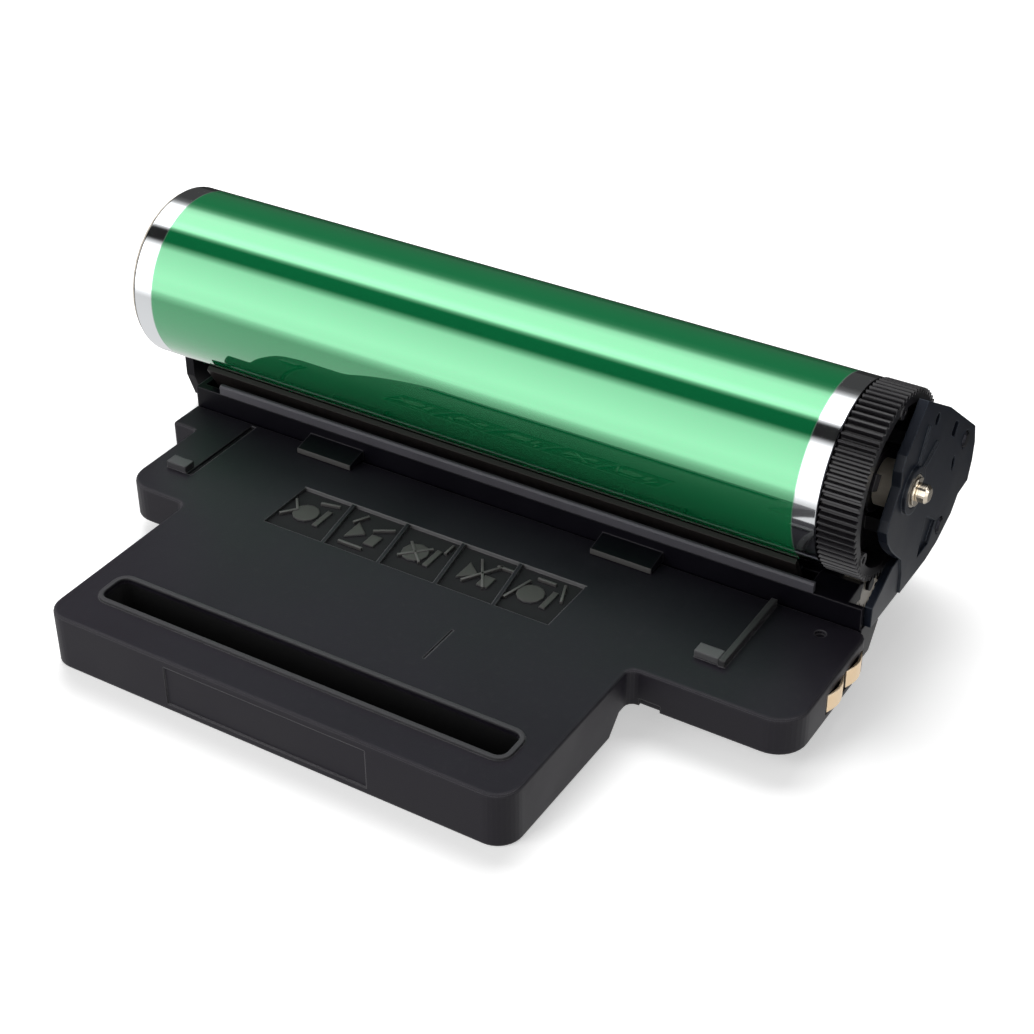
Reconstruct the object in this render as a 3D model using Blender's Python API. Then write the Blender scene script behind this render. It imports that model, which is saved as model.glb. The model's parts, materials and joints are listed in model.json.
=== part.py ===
# Printer drum unit: a flat waste-toner tray with a finger slot in front, a long moulded frame
# behind it, and a coated drum that turns above the frame between two end plates.
# X runs along the drum to the gear end, Y to the back, Z up from the surface it stands on.
import math

import bmesh
import bpy
from mathutils import Matrix, Vector

for thing in list(bpy.data.objects):
    bpy.data.objects.remove(thing)

MM = 0.001

# Clearances
GAP = 0.3 * MM
RUNNING = 0.08 * MM
# How far a cutting tool stands past the face that it opens, and a joined body sinks in
PAST = 1.0 * MM

# Drum
DRUM_RADIUS = 30.0 * MM
DRUM_LENGTH = 258.0 * MM
DRUM_WALL = 1.4 * MM
BARE_BAND = 8.0 * MM
TUBE_CHAMFER = 0.4 * MM
UNDER_DRUM = 28.0 * MM
DRUM_SIDES = 72
SHAFT_RADIUS = 3.0 * MM
SHAFT_TIP = 6.0 * MM
SHAFT_CHAMFER = 0.9 * MM
SHAFT_TAIL = 2.4 * MM
CLIP_GROOVE = 0.6 * MM
PLUG_DEPTH = 12.0 * MM
PLUG_WALL = 2.2 * MM
HUB_RADIUS = 7.0 * MM
HUB_WALL = 3.0 * MM
PLUG_CHAMFER = 0.5 * MM
CRADLE_CLEARANCE = 3.0 * MM

# Gears
MODULE = 0.8 * MM
PRESSURE_ANGLE = math.radians(20)
TOOTH_DROP = 0.4 * MM
IDLER_TEETH = 20
AUGER_TEETH = 15
BACKLASH = 0.14 * MM
GEAR_WIDTH = 12.0 * MM
RIM_WALL = 3.6 * MM
RECESS_DEPTH = 7.5 * MM
RIM_BOSS = 2.3 * MM
RIM_BOSS_PROUD = 0.4 * MM
RIM_BOSS_START = math.radians(93)
DIMPLE_DEPTH = 1.5 * MM
CLAW_START = math.radians(150)
CLAW_NEAR = 12.5 * MM
CLAW_FAR = 17.0 * MM
CLAW_ROOT = math.radians(11.5)
CLAW_TIP = math.radians(9.2)
CLAW_SUNK = 1.5 * MM
HUB_RECESS = 5.0 * MM
SMALL_GEAR_WIDTH = 6.0 * MM
SMALL_GEAR_SETBACK = 1.5 * MM
IDLER_PIN = 2.2 * MM

# End plates and bushings
PLATE_THICKNESS = 3.1 * MM
PLATE_HEAD_RADIUS = 23.0 * MM
LEFT_PLATE_THICKNESS = 3.6 * MM
LEFT_HEAD_RADIUS = 14.0 * MM
BUSH_RADIUS = 5.2 * MM
BUSH_FLANGE_RADIUS = 7.4 * MM
BUSH_FLANGE = 6.1 * MM
LEFT_BUSH_FLANGE = 1.2 * MM
FLANGE_LIP = 1.0 * MM
BUSH_PROUD = 1.4 * MM
FOOT_INSET = 2.6 * MM
HOLLOW_DEPTH = 1.2 * MM
SKIRT_INSET = 0.6 * MM
SKIRT_BACK = 3.0 * MM
SKIRT_TOP = 33.0 * MM
COLLAR_WALL = 2.4 * MM
SPOKE_ANGLES = (math.radians(20), math.radians(62))
SPOKE_LENGTH = 20.0 * MM
SPOKE_HALF = 0.7 * MM
SPOKE_PROUD = 0.7 * MM
PLATE_SCREW_SUNK = 0.4 * MM
PEEP_RADIUS = 2.0 * MM
PEEP_PLACE = (16.4 * MM, 16.0 * MM)
WINDOW_RADIUS = 1.2 * MM
WINDOW = ((31.0 * MM, 2.5 * MM), (35.0 * MM, -0.5 * MM), (38.0 * MM, 3.5 * MM), (34.0 * MM, 6.5 * MM))
OVAL_PLACE = (36.8 * MM, -11.0 * MM)
OVAL_WIDTH = 2.8 * MM
OVAL_HEIGHT = 5.2 * MM
OVAL_CORNER = 1.3 * MM
HOLLOW = ((17.0 * MM, -19.5 * MM), (13.0 * MM, -33.0 * MM), (22.5 * MM, -33.0 * MM),
          (27.0 * MM, -27.0 * MM))
LEFT_POCKET = ((6.0 * MM, -22.0 * MM), (6.0 * MM, -50.0 * MM), (14.0 * MM, -53.0 * MM),
               (14.0 * MM, -22.0 * MM))
LEFT_FOOT = ((0.0, 13.0 * MM), (3.5 * MM, 3.0 * MM))
CLIP_RADIUS = 4.6 * MM
CLIP_THICKNESS = 0.6 * MM
CLIP_OPENING = math.radians(35)

# Tray
TRAY_TOP = 18.6 * MM
EAR_BOTTOM = 5.8 * MM
HANDLE_WIDTH = 168.0 * MM
HANDLE_CENTRE = 8.4 * MM
TRAY_FRONT = -143.0 * MM
EAR_FRONT = -74.2 * MM
EAR_INSET = 27.0 * MM
WING_INSET = 17.0 * MM
WING_FRONT = -36.0 * MM
TRAY_OVERLAP = 8.0 * MM
STEP_BACK = -80.0 * MM
TRAY_WALL = 2.2 * MM
HANDLE_CORNER = 8.0 * MM
EAR_CORNER = 10.0 * MM
INNER_CORNER = 3.0 * MM
REAR_CORNER = 4.0 * MM
EDGE_ROUND = 1.0 * MM
SLOT_MARGIN = 10.5 * MM
SLOT_WIDTH = 11.5 * MM
SLOT_INSET = 14.6 * MM
SLOT_WALL = 1.6 * MM
SLOT_CORNER = 3.0 * MM
LIP_HEIGHT = 0.8 * MM

# Tray details
SIGN_LEFT = -47.0 * MM
SIGN_CELLS = 5
SIGN_PITCH = 21.6 * MM
SIGN_DEPTH = 23.0 * MM
SIGN_BACK = -45.6 * MM
SIGN_RECESS = 1.2 * MM
SIGN_RIB = 1.4 * MM
SIGN_SLANT = 3.8 * MM
PANEL_WIDTH = 73.0 * MM
PANEL_RECESS = 0.5 * MM
LUG_HEIGHT = 2.4 * MM
LUG_LENGTH = 8.0 * MM
LUG_WIDTH = 4.5 * MM
LUG_SETBACK = 14.6 * MM
RIGHT_LUG_INSET = 40.0 * MM
LEFT_LUG_INSET = 7.0 * MM
RIB_WIDTH = 2.0 * MM
RIB_END = 2.0 * MM
GROOVE_DEPTH = 1.2 * MM
SCORE_SETBACK = 29.0 * MM
SCORE_LENGTH = 16.0 * MM
SCORE_WIDTH = 0.6 * MM
SCORE_DEPTH = 0.5 * MM
VENT_RADIUS = 1.8 * MM
VENT_DEPTH = 1.4 * MM
VENT_INSET = 12.5 * MM
VENT_SETBACK = 8.0 * MM
PANEL_MARGIN = 2.0 * MM
PANEL_TOP = 2.6 * MM
CATCH_SETBACK = 2.4 * MM
CATCH_LENGTH = 6.0 * MM
CATCH_WIDTH = 1.6 * MM
CATCH_DEPTH = 0.7 * MM
NOTCH_START = 3.5 * MM
NOTCH_WIDTH = 7.0 * MM
NOTCH_TOP = 2.5 * MM
SIGN_HEIGHT = 0.7 * MM
SIGN_RING = 4.6 * MM
SIGN_BAR = 2.0 * MM
SCREW_RADIUS = 1.3 * MM
SCREW_HEAD_RADIUS = 2.8 * MM
SCREW_HEAD = 1.6 * MM
HEAD_SUNK = 0.1 * MM
BOSS_RADIUS = 3.4 * MM
SCREW_LENGTH = 8.0 * MM
SCREW_INSET = 11.0 * MM
SCREW_SETBACK = 20.0 * MM
BASE_THICKNESS = 2.4 * MM
STEP_TURN = math.tan(math.pi / 8)
BAFFLES = 3
BAFFLE_PITCH = 46.0 * MM
BAFFLE_WALL = 1.6 * MM
BAFFLE_SETBACK = 6.0 * MM
CONTACT_INSET = 4.0 * MM
CONTACT_SPAN = 25.0 * MM
CONTACT_POCKET = 0.8 * MM
CONTACT_BOW = 1.4 * MM
CONTACT_THICKNESS = 0.5 * MM
CONTACT_SPACE = 2.0 * MM
CONTACT_SETBACK = 2.4 * MM
CONTACT_DROP = 4.2 * MM

# Frame
FRAME_WALL = 2.5 * MM
FRAME_SHORT = 2.0 * MM
FRONT_WALL_DROP = 2.0 * MM
BEHIND_DRUM = 17.0 * MM
REAR_DROP = 14.0 * MM
REAR_START = 16.0 * MM
ROLLER_BAY = 13.0 * MM
TONGUE_LENGTH = 22.0 * MM
TONGUE_DEPTH = 8.0 * MM
TONGUE_THICKNESS = 1.8 * MM
TONGUE_CENTRE = 6.7 * MM
TONGUE_SPREAD = 57.8 * MM
POCKETS = 6
POCKET_FRONT = 2.0 * MM
POCKET_TOP = 21.0 * MM
SCREW_BOSS = 3.2 * MM
KEEL_FRONT = -4.0 * MM
KEEL_SLOPE = 4.0 * MM
REAR_SLOPE = 6.0 * MM
REAR_CHAMFER = 6.0 * MM
REAR_STRAIGHT = 20.0 * MM
HOUSING_INSET = 0.8 * MM
BAY_WALL = 2.0 * MM
NOSE_BACK = 10.0 * MM
NOSE_TOP = 30.0 * MM
NOSE_RISE = 2.7 * MM
NOSE_SLOPE = 7.7 * MM
SHELF_BACK = -6.2 * MM
LIP_WALL = 1.8 * MM
SHOULDER_WALL = 1.5 * MM
STRIP_INSET = 28.0 * MM
STRIP_HEIGHT = 3.4 * MM
STRIP_DEPTH = 1.5 * MM
STRIP_EDGE = 0.6 * MM

# Rollers
ROLLER_ANGLE = math.radians(-45)
CHARGE_RADIUS = 6.0 * MM
CHARGE_CORE = 3.0 * MM
CHARGE_SHORT = 26.0 * MM
BAY_SPACE = 3.4 * MM
CLEANER_RADIUS = 4.0 * MM
CLEANER_CORE = 2.0 * MM
ROLLER_CHAMFER = 0.4 * MM
BEARING_WIDTH = 6.4 * MM
BEARING_HALF = 4.5 * MM
BEARING_SETBACK = 1.4 * MM
SPRING_LENGTH = 6.0 * MM
SPRING_RADIUS = 2.2 * MM
WIRE_RADIUS = 0.35 * MM
SPRING_TURNS = 4

# Cleaning blade
BLADE_CONTACT = math.radians(235)
BLADE_LEAN = math.radians(25)
BLADE_THICKNESS = 1.8 * MM
BLADE_REACH = 11.0 * MM
BLADE_LEFT_INSET = 20.0 * MM
BLADE_RIGHT_INSET = 10.0 * MM
BRACKET_START = 7.0 * MM
BRACKET_END = 21.0 * MM
BRACKET_THICKNESS = 1.2 * MM
BLADE_SCREW_RADIUS = 1.2 * MM
BLADE_SCREW_HEAD = 2.3 * MM
BLADE_SCREW_THICKNESS = 0.9 * MM
BLADE_SCREW_DEPTH = 5.0 * MM

# Waste auger
AUGER_BELOW = 15.9 * MM
AUGER_SWING = math.radians(17.2)
AUGER_RADIUS = 4.6 * MM
AUGER_CORE = 1.8 * MM
AUGER_PITCH = 24.0 * MM
AUGER_SIDES = 12
FLIGHT_THICKNESS = 1.3 * MM
TROUGH_CLEARANCE = 0.8 * MM
TROUGH_WALL = 3.0 * MM
DOOR_INSET = 13.0 * MM
DOOR_WIDTH = 14.0 * MM
DOOR_LOW = 9.4 * MM
DOOR_HIGH = 14.4 * MM
DOOR_REACH = 4.5 * MM

# Places that follow from the sizes above
AXIS_HEIGHT = DRUM_RADIUS + UNDER_DRUM
DRUM_TEETH = round(2 * (DRUM_RADIUS - TOOTH_DROP) / MODULE)
AUGER_Y = -(DRUM_RADIUS + AUGER_BELOW) * math.sin(AUGER_SWING)
AUGER_Z = AXIS_HEIGHT - (DRUM_RADIUS + AUGER_BELOW) * math.cos(AUGER_SWING)
TRAY_REAR = AUGER_Y - AUGER_RADIUS - TROUGH_CLEARANCE - TROUGH_WALL
SLOT_LENGTH = HANDLE_WIDTH - 2 * SLOT_MARGIN
REAR_DEPTH = DRUM_RADIUS + BEHIND_DRUM
REAR_TURN = REAR_DEPTH - REAR_SLOPE / 2
REAR_KEEL = REAR_TURN - REAR_SLOPE
FRONT_WALL_TOP = UNDER_DRUM - FRONT_WALL_DROP
REAR_TOP = AXIS_HEIGHT - REAR_DROP
DRUM_END = DRUM_LENGTH / 2
EAR_LEFT = EAR_INSET - DRUM_END
WING_LEFT = WING_INSET - DRUM_END
STRIP_LEFT = STRIP_INSET - DRUM_END
BLADE_LEFT = BLADE_LEFT_INSET - DRUM_END
BLADE_RIGHT = DRUM_END - BLADE_RIGHT_INSET
CHARGE_LENGTH = DRUM_LENGTH - CHARGE_SHORT
BEARING_START = (CHARGE_LENGTH + BAY_SPACE) / 2
GEAR_OUTER = DRUM_END + GAP + GEAR_WIDTH
PLATE_INNER = GEAR_OUTER - HUB_RECESS + BUSH_FLANGE + 2 * GAP
PLATE_OUTER = PLATE_INNER + PLATE_THICKNESS
LEFT_INNER = -DRUM_END - FLANGE_LIP - LEFT_BUSH_FLANGE - 3 * GAP
LEFT_OUTER = LEFT_INNER - LEFT_PLATE_THICKNESS
CRADLE_RADIUS = DRUM_RADIUS + CRADLE_CLEARANCE
HANDLE_LEFT = HANDLE_CENTRE - HANDLE_WIDTH / 2
HANDLE_RIGHT = HANDLE_CENTRE + HANDLE_WIDTH / 2
SLOT_Y = TRAY_FRONT + SLOT_INSET + SLOT_WIDTH / 2
FRAME_RIGHT = DRUM_END - FRAME_SHORT
DOOR_RIGHT = FRAME_RIGHT - DOOR_INSET
DOOR_LEFT = DOOR_RIGHT - DOOR_WIDTH
FRAME_LEFT = LEFT_INNER + GAP
SMALL_GEAR_END = DRUM_END + SMALL_GEAR_SETBACK + SMALL_GEAR_WIDTH
BAY_RIGHT = SMALL_GEAR_END + SMALL_GEAR_SETBACK
SLOT_END = DRUM_RADIUS + 2 * CHARGE_RADIUS + 2 * CLEANER_RADIUS + SPRING_LENGTH + 2 * GAP
TONGUE_PLACES = (TONGUE_CENTRE - TONGUE_SPREAD, TONGUE_CENTRE + TONGUE_SPREAD)
CATCH_Y = TRAY_REAR - TONGUE_DEPTH + CATCH_SETBACK
CONTACT_BACK = TRAY_REAR - CONTACT_INSET
CONTACT_FRONT = CONTACT_BACK - CONTACT_SPAN
CONTACT_LOW = EAR_BOTTOM + CONTACT_SETBACK
CONTACT_HIGH = TRAY_TOP - CONTACT_DROP
BLADE_SCREWS = (BLADE_LEFT + SCREW_INSET, (BLADE_LEFT + BLADE_RIGHT) / 2, BLADE_RIGHT - SCREW_INSET)
WASTE_DOOR = ((DOOR_LEFT, TRAY_REAR - DOOR_REACH, DOOR_LOW),
              (DOOR_RIGHT, TRAY_REAR + DOOR_REACH, DOOR_HIGH))
# Screws of the end plates, as y and height from the drum's axis
RIGHT_SCREWS = ((46.0 * MM, -7.0 * MM), (31.0 * MM, -31.0 * MM))
LEFT_SCREWS = ((20.5 * MM, -50 * MM), (42.0 * MM, -20 * MM))

# Outline of the gear bay and the right end plate: corners as y and height from the drum's axis
PLATE_CORNERS = (
    (-5.5 * MM, -39.0 * MM),
    (21.7 * MM, -39.0 * MM),
    (30.8 * MM, -37.4 * MM),
    (41.5 * MM, -32.7 * MM),
    (46.2 * MM, -27.8 * MM),
    (54.2 * MM, -27.0 * MM),
    (56.2 * MM, -20.2 * MM),
    (56.5 * MM, -13.4 * MM),
    (54.6 * MM, -6.5 * MM),
    (27.5 * MM, 14.5 * MM),
    (6.4 * MM, 27.5 * MM),
)
# Front edge of the plate, from its top down to its foot
PLATE_FRONT = (
    (-2.7 * MM, 19.0 * MM),
    (-7.1 * MM, 15.5 * MM),
    (-9.3 * MM, 11.0 * MM),
    (-9.2 * MM, 5.6 * MM),
    (-11.3 * MM, 2.4 * MM),
    (-15.4 * MM, -3.0 * MM),
    (-16.6 * MM, -6.4 * MM),
    (-14.9 * MM, -10.8 * MM),
    (-11.1 * MM, -15.9 * MM),
    (-6.1 * MM, -20.7 * MM),
    (-1.3 * MM, -24.9 * MM),
    (0.5 * MM, -31.0 * MM),
    (1.0 * MM, -39.0 * MM),
)


def arc(centre, radius, start, end, steps):
    angles = [start + (end - start) * i / steps for i in range(steps + 1)]
    return [(centre[0] + radius * math.cos(a), centre[1] + radius * math.sin(a)) for a in angles]


# Moves each edge of a counter-clockwise outline inward; a negative distance moves it outward.
def inset(corners, distance):
    moved = []
    for i, corner in enumerate(corners):
        before = (Vector(corner) - Vector(corners[i - 1])).normalized()
        after = (Vector(corners[(i + 1) % len(corners)]) - Vector(corner)).normalized()
        normal_before = Vector((-before.y, before.x))
        normal_after = Vector((-after.y, after.x))
        shift = (normal_before + normal_after) * distance / (1 + normal_before.dot(normal_after))
        moved.append(tuple(Vector(corner) + shift))
    return moved


# Replaces each corner of an outline by an arc; grow is the inset that the outline already has.
def rounded(corners, radii, grow=0.0):
    points = []
    for i, corner in enumerate(corners):
        steps = 2 if radii[i] < 2 * MM else 4 if radii[i] < 5 * MM else 9
        before = (Vector(corner) - Vector(corners[i - 1])).normalized()
        after = (Vector(corners[(i + 1) % len(corners)]) - Vector(corner)).normalized()
        turn = math.atan2(before.x * after.y - before.y * after.x, before.dot(after))
        side = 1 if turn > 0 else -1
        radius = max(radii[i] - side * grow, 0.2 * MM)
        reach = radius * math.tan(abs(turn) / 2)
        start = Vector(corner) - before * reach
        centre = start + Vector((-before.y, before.x)) * radius * side
        first = math.atan2(start.y - centre.y, start.x - centre.x)
        points += arc(centre, radius, first, first + turn, steps)
    return points


# Lifts an outline into the plane at a distance along one axis.
def placed(outline, axis, distance):
    if axis == "X":
        return [(distance, u, v) for u, v in outline]
    if axis == "Y":
        return [(u, distance, v) for u, v in outline]
    return [(u, v, distance) for u, v in outline]


def circle(x, radius, centre, sides):
    turns = [2 * math.pi * i / sides for i in range(sides)]
    return [(x, centre[0] + radius * math.cos(t), centre[1] + radius * math.sin(t)) for t in turns]


# The outline of a round hole or pin that stands along Z.
def ring_of(x, y, radius, sides):
    return arc((x, y), radius, 0, 2 * math.pi * (sides - 1) / sides, sides - 1)


# Joins rings of equal length into one closed body, capped at its ends or bent round on itself.
def add_stack(bm, rings, closed=False):
    loops = [[bm.verts.new(point) for point in ring] for ring in rings]
    pairs = list(zip(loops, loops[1:]))
    if closed:
        pairs.append((loops[-1], loops[0]))
    else:
        bm.faces.new(loops[0])
        bm.faces.new(loops[-1])
    for low, high in pairs:
        for i in range(len(low)):
            j = (i + 1) % len(low)
            bm.faces.new((low[i], low[j], high[j], high[i]))
    bmesh.ops.recalc_face_normals(bm, faces=bm.faces)


def add_prism(bm, outline, axis, start, end):
    add_stack(bm, [placed(outline, axis, start), placed(outline, axis, end)])


def add_box(bm, low, high):
    outline = [(low[0], low[1]), (high[0], low[1]), (high[0], high[1]), (low[0], high[1])]
    add_prism(bm, outline, "Z", low[2], high[2])


# Turns an (x, radius) profile about the line along X through the centre (y, z).
def add_turned(bm, profile, centre, sides, closed=False):
    add_stack(bm, [circle(x, radius, centre, sides) for x, radius in profile], closed)


def add_rod(bm, start, end, radius, centre, sides=24):
    add_turned(bm, [(start, radius), (end, radius)], centre, sides)


# A round pin between two points in space.
def add_pin(bm, start, end, radius, sides=12):
    line = Vector(end) - Vector(start)
    middle = (Vector(end) + Vector(start)) / 2
    place = Matrix.Translation(middle) @ line.to_track_quat("Z", "Y").to_matrix().to_4x4()
    bmesh.ops.create_cone(bm, cap_ends=True, segments=sides, radius1=radius, radius2=radius,
                          depth=line.length, matrix=place)


def material(name, colour, roughness, metallic=0.0):
    made = bpy.data.materials.new(name)
    made.use_nodes = True
    shader = made.node_tree.nodes["Principled BSDF"]
    shader.inputs["Base Color"].default_value = (*colour, 1)
    shader.inputs["Roughness"].default_value = roughness
    shader.inputs["Metallic"].default_value = metallic
    return made


# Makes an object from a bmesh whose points are in world space, with its origin at a given place.
def solid(name, bm, surface, origin=(0, 0, 0)):
    mesh = bpy.data.meshes.new(name)
    bm.transform(Matrix.Translation(-Vector(origin)))
    bm.to_mesh(mesh)
    bm.free()
    made = bpy.data.objects.new(name, mesh)
    made.location = origin
    made.data.materials.append(surface)
    bpy.context.scene.collection.objects.link(made)
    mesh.shade_smooth()
    mesh.set_sharp_from_angle(angle=math.radians(32))
    return made


# Adds, cuts or keeps the bodies of a bmesh in an object, then removes them.
def combine(target, bm, operation):
    mesh = bpy.data.meshes.new("tool")
    bm.to_mesh(mesh)
    bm.free()
    tool = bpy.data.objects.new("tool", mesh)
    bpy.context.scene.collection.objects.link(tool)
    change = target.modifiers.new("tool", "BOOLEAN")
    change.operation = operation
    change.object = tool
    change.solver = "EXACT"
    change.use_self = True
    bpy.context.view_layer.objects.active = target
    bpy.ops.object.modifier_apply(modifier=change.name)
    bpy.data.objects.remove(tool)
    bpy.data.meshes.remove(mesh)
    target.data.set_sharp_from_angle(angle=math.radians(32))


# Tray cover: an open-bottomed shell with the slot's wall and the screw bosses inside.

TRAY_CORNERS = [
    (HANDLE_LEFT, TRAY_FRONT),
    (HANDLE_RIGHT, TRAY_FRONT),
    (HANDLE_RIGHT, EAR_FRONT),
    (PLATE_OUTER, EAR_FRONT),
    (PLATE_OUTER, TRAY_REAR - GAP),
    (WING_LEFT, TRAY_REAR - GAP),
    (WING_LEFT, WING_FRONT),
    (EAR_LEFT, WING_FRONT),
    (EAR_LEFT, EAR_FRONT),
    (HANDLE_LEFT, EAR_FRONT),
]
TRAY_RADII = [
    HANDLE_CORNER,
    HANDLE_CORNER,
    INNER_CORNER,
    EAR_CORNER,
    REAR_CORNER,
    0.4 * MM,
    1.0 * MM,
    1.0 * MM,
    EAR_CORNER,
    INNER_CORNER,
]
# Where the tray's screws stand: x, y and the height of the bottom there.
TRAY_SCREWS = [
    (HANDLE_LEFT + SCREW_INSET, STEP_BACK - SCREW_SETBACK, 0.0),
    (HANDLE_RIGHT - SCREW_INSET, STEP_BACK - SCREW_SETBACK, 0.0),
    (EAR_LEFT + SCREW_INSET, EAR_FRONT + SCREW_SETBACK, EAR_BOTTOM),
    (PLATE_OUTER - SCREW_INSET, EAR_FRONT + SCREW_SETBACK, EAR_BOTTOM),
]


def tray_outline(distance):
    return rounded(inset(TRAY_CORNERS, distance), TRAY_RADII, distance)


def slot_outline(margin):
    half_length = SLOT_LENGTH / 2 + margin
    half_width = SLOT_WIDTH / 2 + margin
    corners = [
        (HANDLE_CENTRE - half_length, SLOT_Y - half_width),
        (HANDLE_CENTRE + half_length, SLOT_Y - half_width),
        (HANDLE_CENTRE + half_length, SLOT_Y + half_width),
        (HANDLE_CENTRE - half_length, SLOT_Y + half_width),
    ]
    return rounded(corners, [SLOT_CORNER] * 4, -margin)


def add_sign_cells(bm):
    front = SIGN_BACK - SIGN_DEPTH
    width = SIGN_CELLS * SIGN_PITCH
    ends = [SIGN_LEFT] + [SIGN_LEFT + SIGN_PITCH * i for i in range(1, SIGN_CELLS)]
    ends.append(SIGN_LEFT + width)
    half_rib = SIGN_RIB / 2
    for i in range(SIGN_CELLS):
        lean_left = SIGN_SLANT if i > 0 else 0.0
        lean_right = SIGN_SLANT if i < SIGN_CELLS - 1 else 0.0
        left = ends[i] + (half_rib if i > 0 else 0.0)
        right = ends[i + 1] - (half_rib if i < SIGN_CELLS - 1 else 0.0)
        outline = [
            (left + lean_left / 2, front),
            (right + lean_right / 2, front),
            (right - lean_right / 2, SIGN_BACK),
            (left - lean_left / 2, SIGN_BACK),
        ]
        add_prism(bm, outline, "Z", TRAY_TOP - SIGN_RECESS, TRAY_TOP + PAST)


# Five plain moulded shapes, one in each cell of the recess.
def add_signs(bm):
    low = TRAY_TOP - SIGN_RECESS - GAP
    high = TRAY_TOP - SIGN_RECESS + SIGN_HEIGHT
    reach = SIGN_RING
    middle = SIGN_BACK - SIGN_DEPTH / 2
    centres = [SIGN_LEFT + SIGN_PITCH * (i + 0.5) for i in range(SIGN_CELLS)]
    for i, x in enumerate(centres):
        if i % 2 == 0:
            add_prism(bm, ring_of(x - reach / 2, middle, reach, 12), "Z", low, high)
            bar = x + reach / 2 + PAST
            add_box(bm, (bar, middle - reach, low), (bar + SIGN_BAR, middle + reach, high))
        else:
            left = x - reach - PAST
            add_prism(bm, [(left, middle - reach), (x, middle), (left, middle + reach)], "Z", low, high)
            bar = x + SIGN_BAR
            add_box(bm, (bar, middle - reach, low), (bar + 2 * SIGN_BAR, middle + PAST, high))


def make_tray_cover():
    bm = bmesh.new()
    heights = [(0.0, 0.0), (TRAY_TOP - EDGE_ROUND, 0.0)]
    for i in range(1, 4):
        a = math.pi / 2 * i / 3
        lift = TRAY_TOP - EDGE_ROUND + EDGE_ROUND * math.sin(a)
        heights.append((lift, EDGE_ROUND * (1 - math.cos(a))))
    add_stack(bm, [placed(tray_outline(d), "Z", z) for z, d in heights])
    cover = solid("tray_cover", bm, CHARCOAL)

    bm = bmesh.new()
    add_prism(bm, tray_outline(TRAY_WALL), "Z", -PAST, TRAY_TOP - TRAY_WALL)
    step = [
        (STEP_BACK - EAR_BOTTOM, 0.0),
        (STEP_BACK, EAR_BOTTOM),
        (0, EAR_BOTTOM),
        (0, -PAST),
        (STEP_BACK - EAR_BOTTOM, -PAST),
    ]
    add_prism(bm, step, "X", WING_LEFT - PAST, PLATE_OUTER + PAST)
    combine(cover, bm, "DIFFERENCE")

    bm = bmesh.new()
    add_prism(bm, slot_outline(SLOT_WALL), "Z", BASE_THICKNESS + GAP, TRAY_TOP + LIP_HEIGHT)
    for x, y, z in TRAY_SCREWS:
        add_prism(bm, ring_of(x, y, BOSS_RADIUS, 16), "Z", z + BASE_THICKNESS + GAP,
                  TRAY_TOP - TRAY_WALL / 2)
    lug_right = PLATE_OUTER - RIGHT_LUG_INSET
    lug_front = EAR_FRONT + LUG_SETBACK
    lug_back = lug_front + LUG_WIDTH
    lug_top = TRAY_TOP + LUG_HEIGHT
    rib = lug_right + LUG_LENGTH + GAP
    add_box(bm, (lug_right, lug_front, TRAY_TOP - PAST), (rib - GAP, lug_back, lug_top))
    add_box(bm, (rib, lug_front - GAP, TRAY_TOP - PAST), (rib + RIB_WIDTH, TRAY_REAR - RIB_END, lug_top))
    add_box(bm, (rib - PAST, lug_front + GAP, TRAY_TOP - PAST), (rib + PAST, lug_back - GAP, lug_top - GAP))
    lug_left = EAR_LEFT + LEFT_LUG_INSET
    add_box(bm, (lug_left, lug_front, TRAY_TOP - PAST), (lug_left + LUG_LENGTH, lug_back, lug_top))
    combine(cover, bm, "UNION")

    bm = bmesh.new()
    add_prism(bm, slot_outline(0), "Z", -PAST, TRAY_TOP + LIP_HEIGHT + PAST)
    for x, y, z in TRAY_SCREWS:
        add_prism(bm, ring_of(x, y, SCREW_RADIUS + GAP, 12), "Z", z, z + SCREW_LENGTH + PAST)
    add_sign_cells(bm)
    groove = lug_left + LUG_LENGTH + GAP
    add_box(bm, (groove, lug_front, TRAY_TOP - GROOVE_DEPTH),
            (groove + RIB_WIDTH, TRAY_REAR - RIB_END, TRAY_TOP + PAST))
    score = HANDLE_CENTRE + SCORE_SETBACK
    score_back = STEP_BACK - EAR_BOTTOM
    add_box(bm, (score, score_back - SCORE_LENGTH, TRAY_TOP - SCORE_DEPTH),
            (score + SCORE_WIDTH, score_back, TRAY_TOP + PAST))
    add_prism(bm, ring_of(PLATE_OUTER - VENT_INSET, TRAY_REAR - VENT_SETBACK, VENT_RADIUS, 12), "Z",
              TRAY_TOP - VENT_DEPTH, TRAY_TOP + PAST)
    panel_left = HANDLE_CENTRE - PANEL_WIDTH / 2
    add_box(bm, (panel_left, TRAY_FRONT - PAST, PANEL_MARGIN),
            (panel_left + PANEL_WIDTH, TRAY_FRONT + PANEL_RECESS, TRAY_TOP - PANEL_TOP))
    for x in TONGUE_PLACES:
        half = CATCH_LENGTH / 2 + PAST
        reach = CATCH_WIDTH / 2 + 2 * GAP
        add_box(bm, (x - half, CATCH_Y - reach, TRAY_TOP - CATCH_DEPTH - GAP),
                (x + half, CATCH_Y + reach, TRAY_TOP + PAST))
    add_box(bm, (PLATE_OUTER - CONTACT_POCKET, CONTACT_FRONT - PAST, CONTACT_LOW - 2 * GAP),
            (PLATE_OUTER + PAST, CONTACT_BACK + PAST, CONTACT_HIGH + 2 * GAP))
    add_box(bm, WASTE_DOOR[0], WASTE_DOOR[1])
    notch = HANDLE_RIGHT + NOTCH_START
    add_box(bm, (notch, EAR_FRONT - PAST, 0),
            (notch + NOTCH_WIDTH, EAR_FRONT + TRAY_WALL / 2, EAR_BOTTOM + NOTCH_TOP))
    combine(cover, bm, "DIFFERENCE")

    bm = bmesh.new()
    add_signs(bm)
    combine(cover, bm, "UNION")


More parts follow.
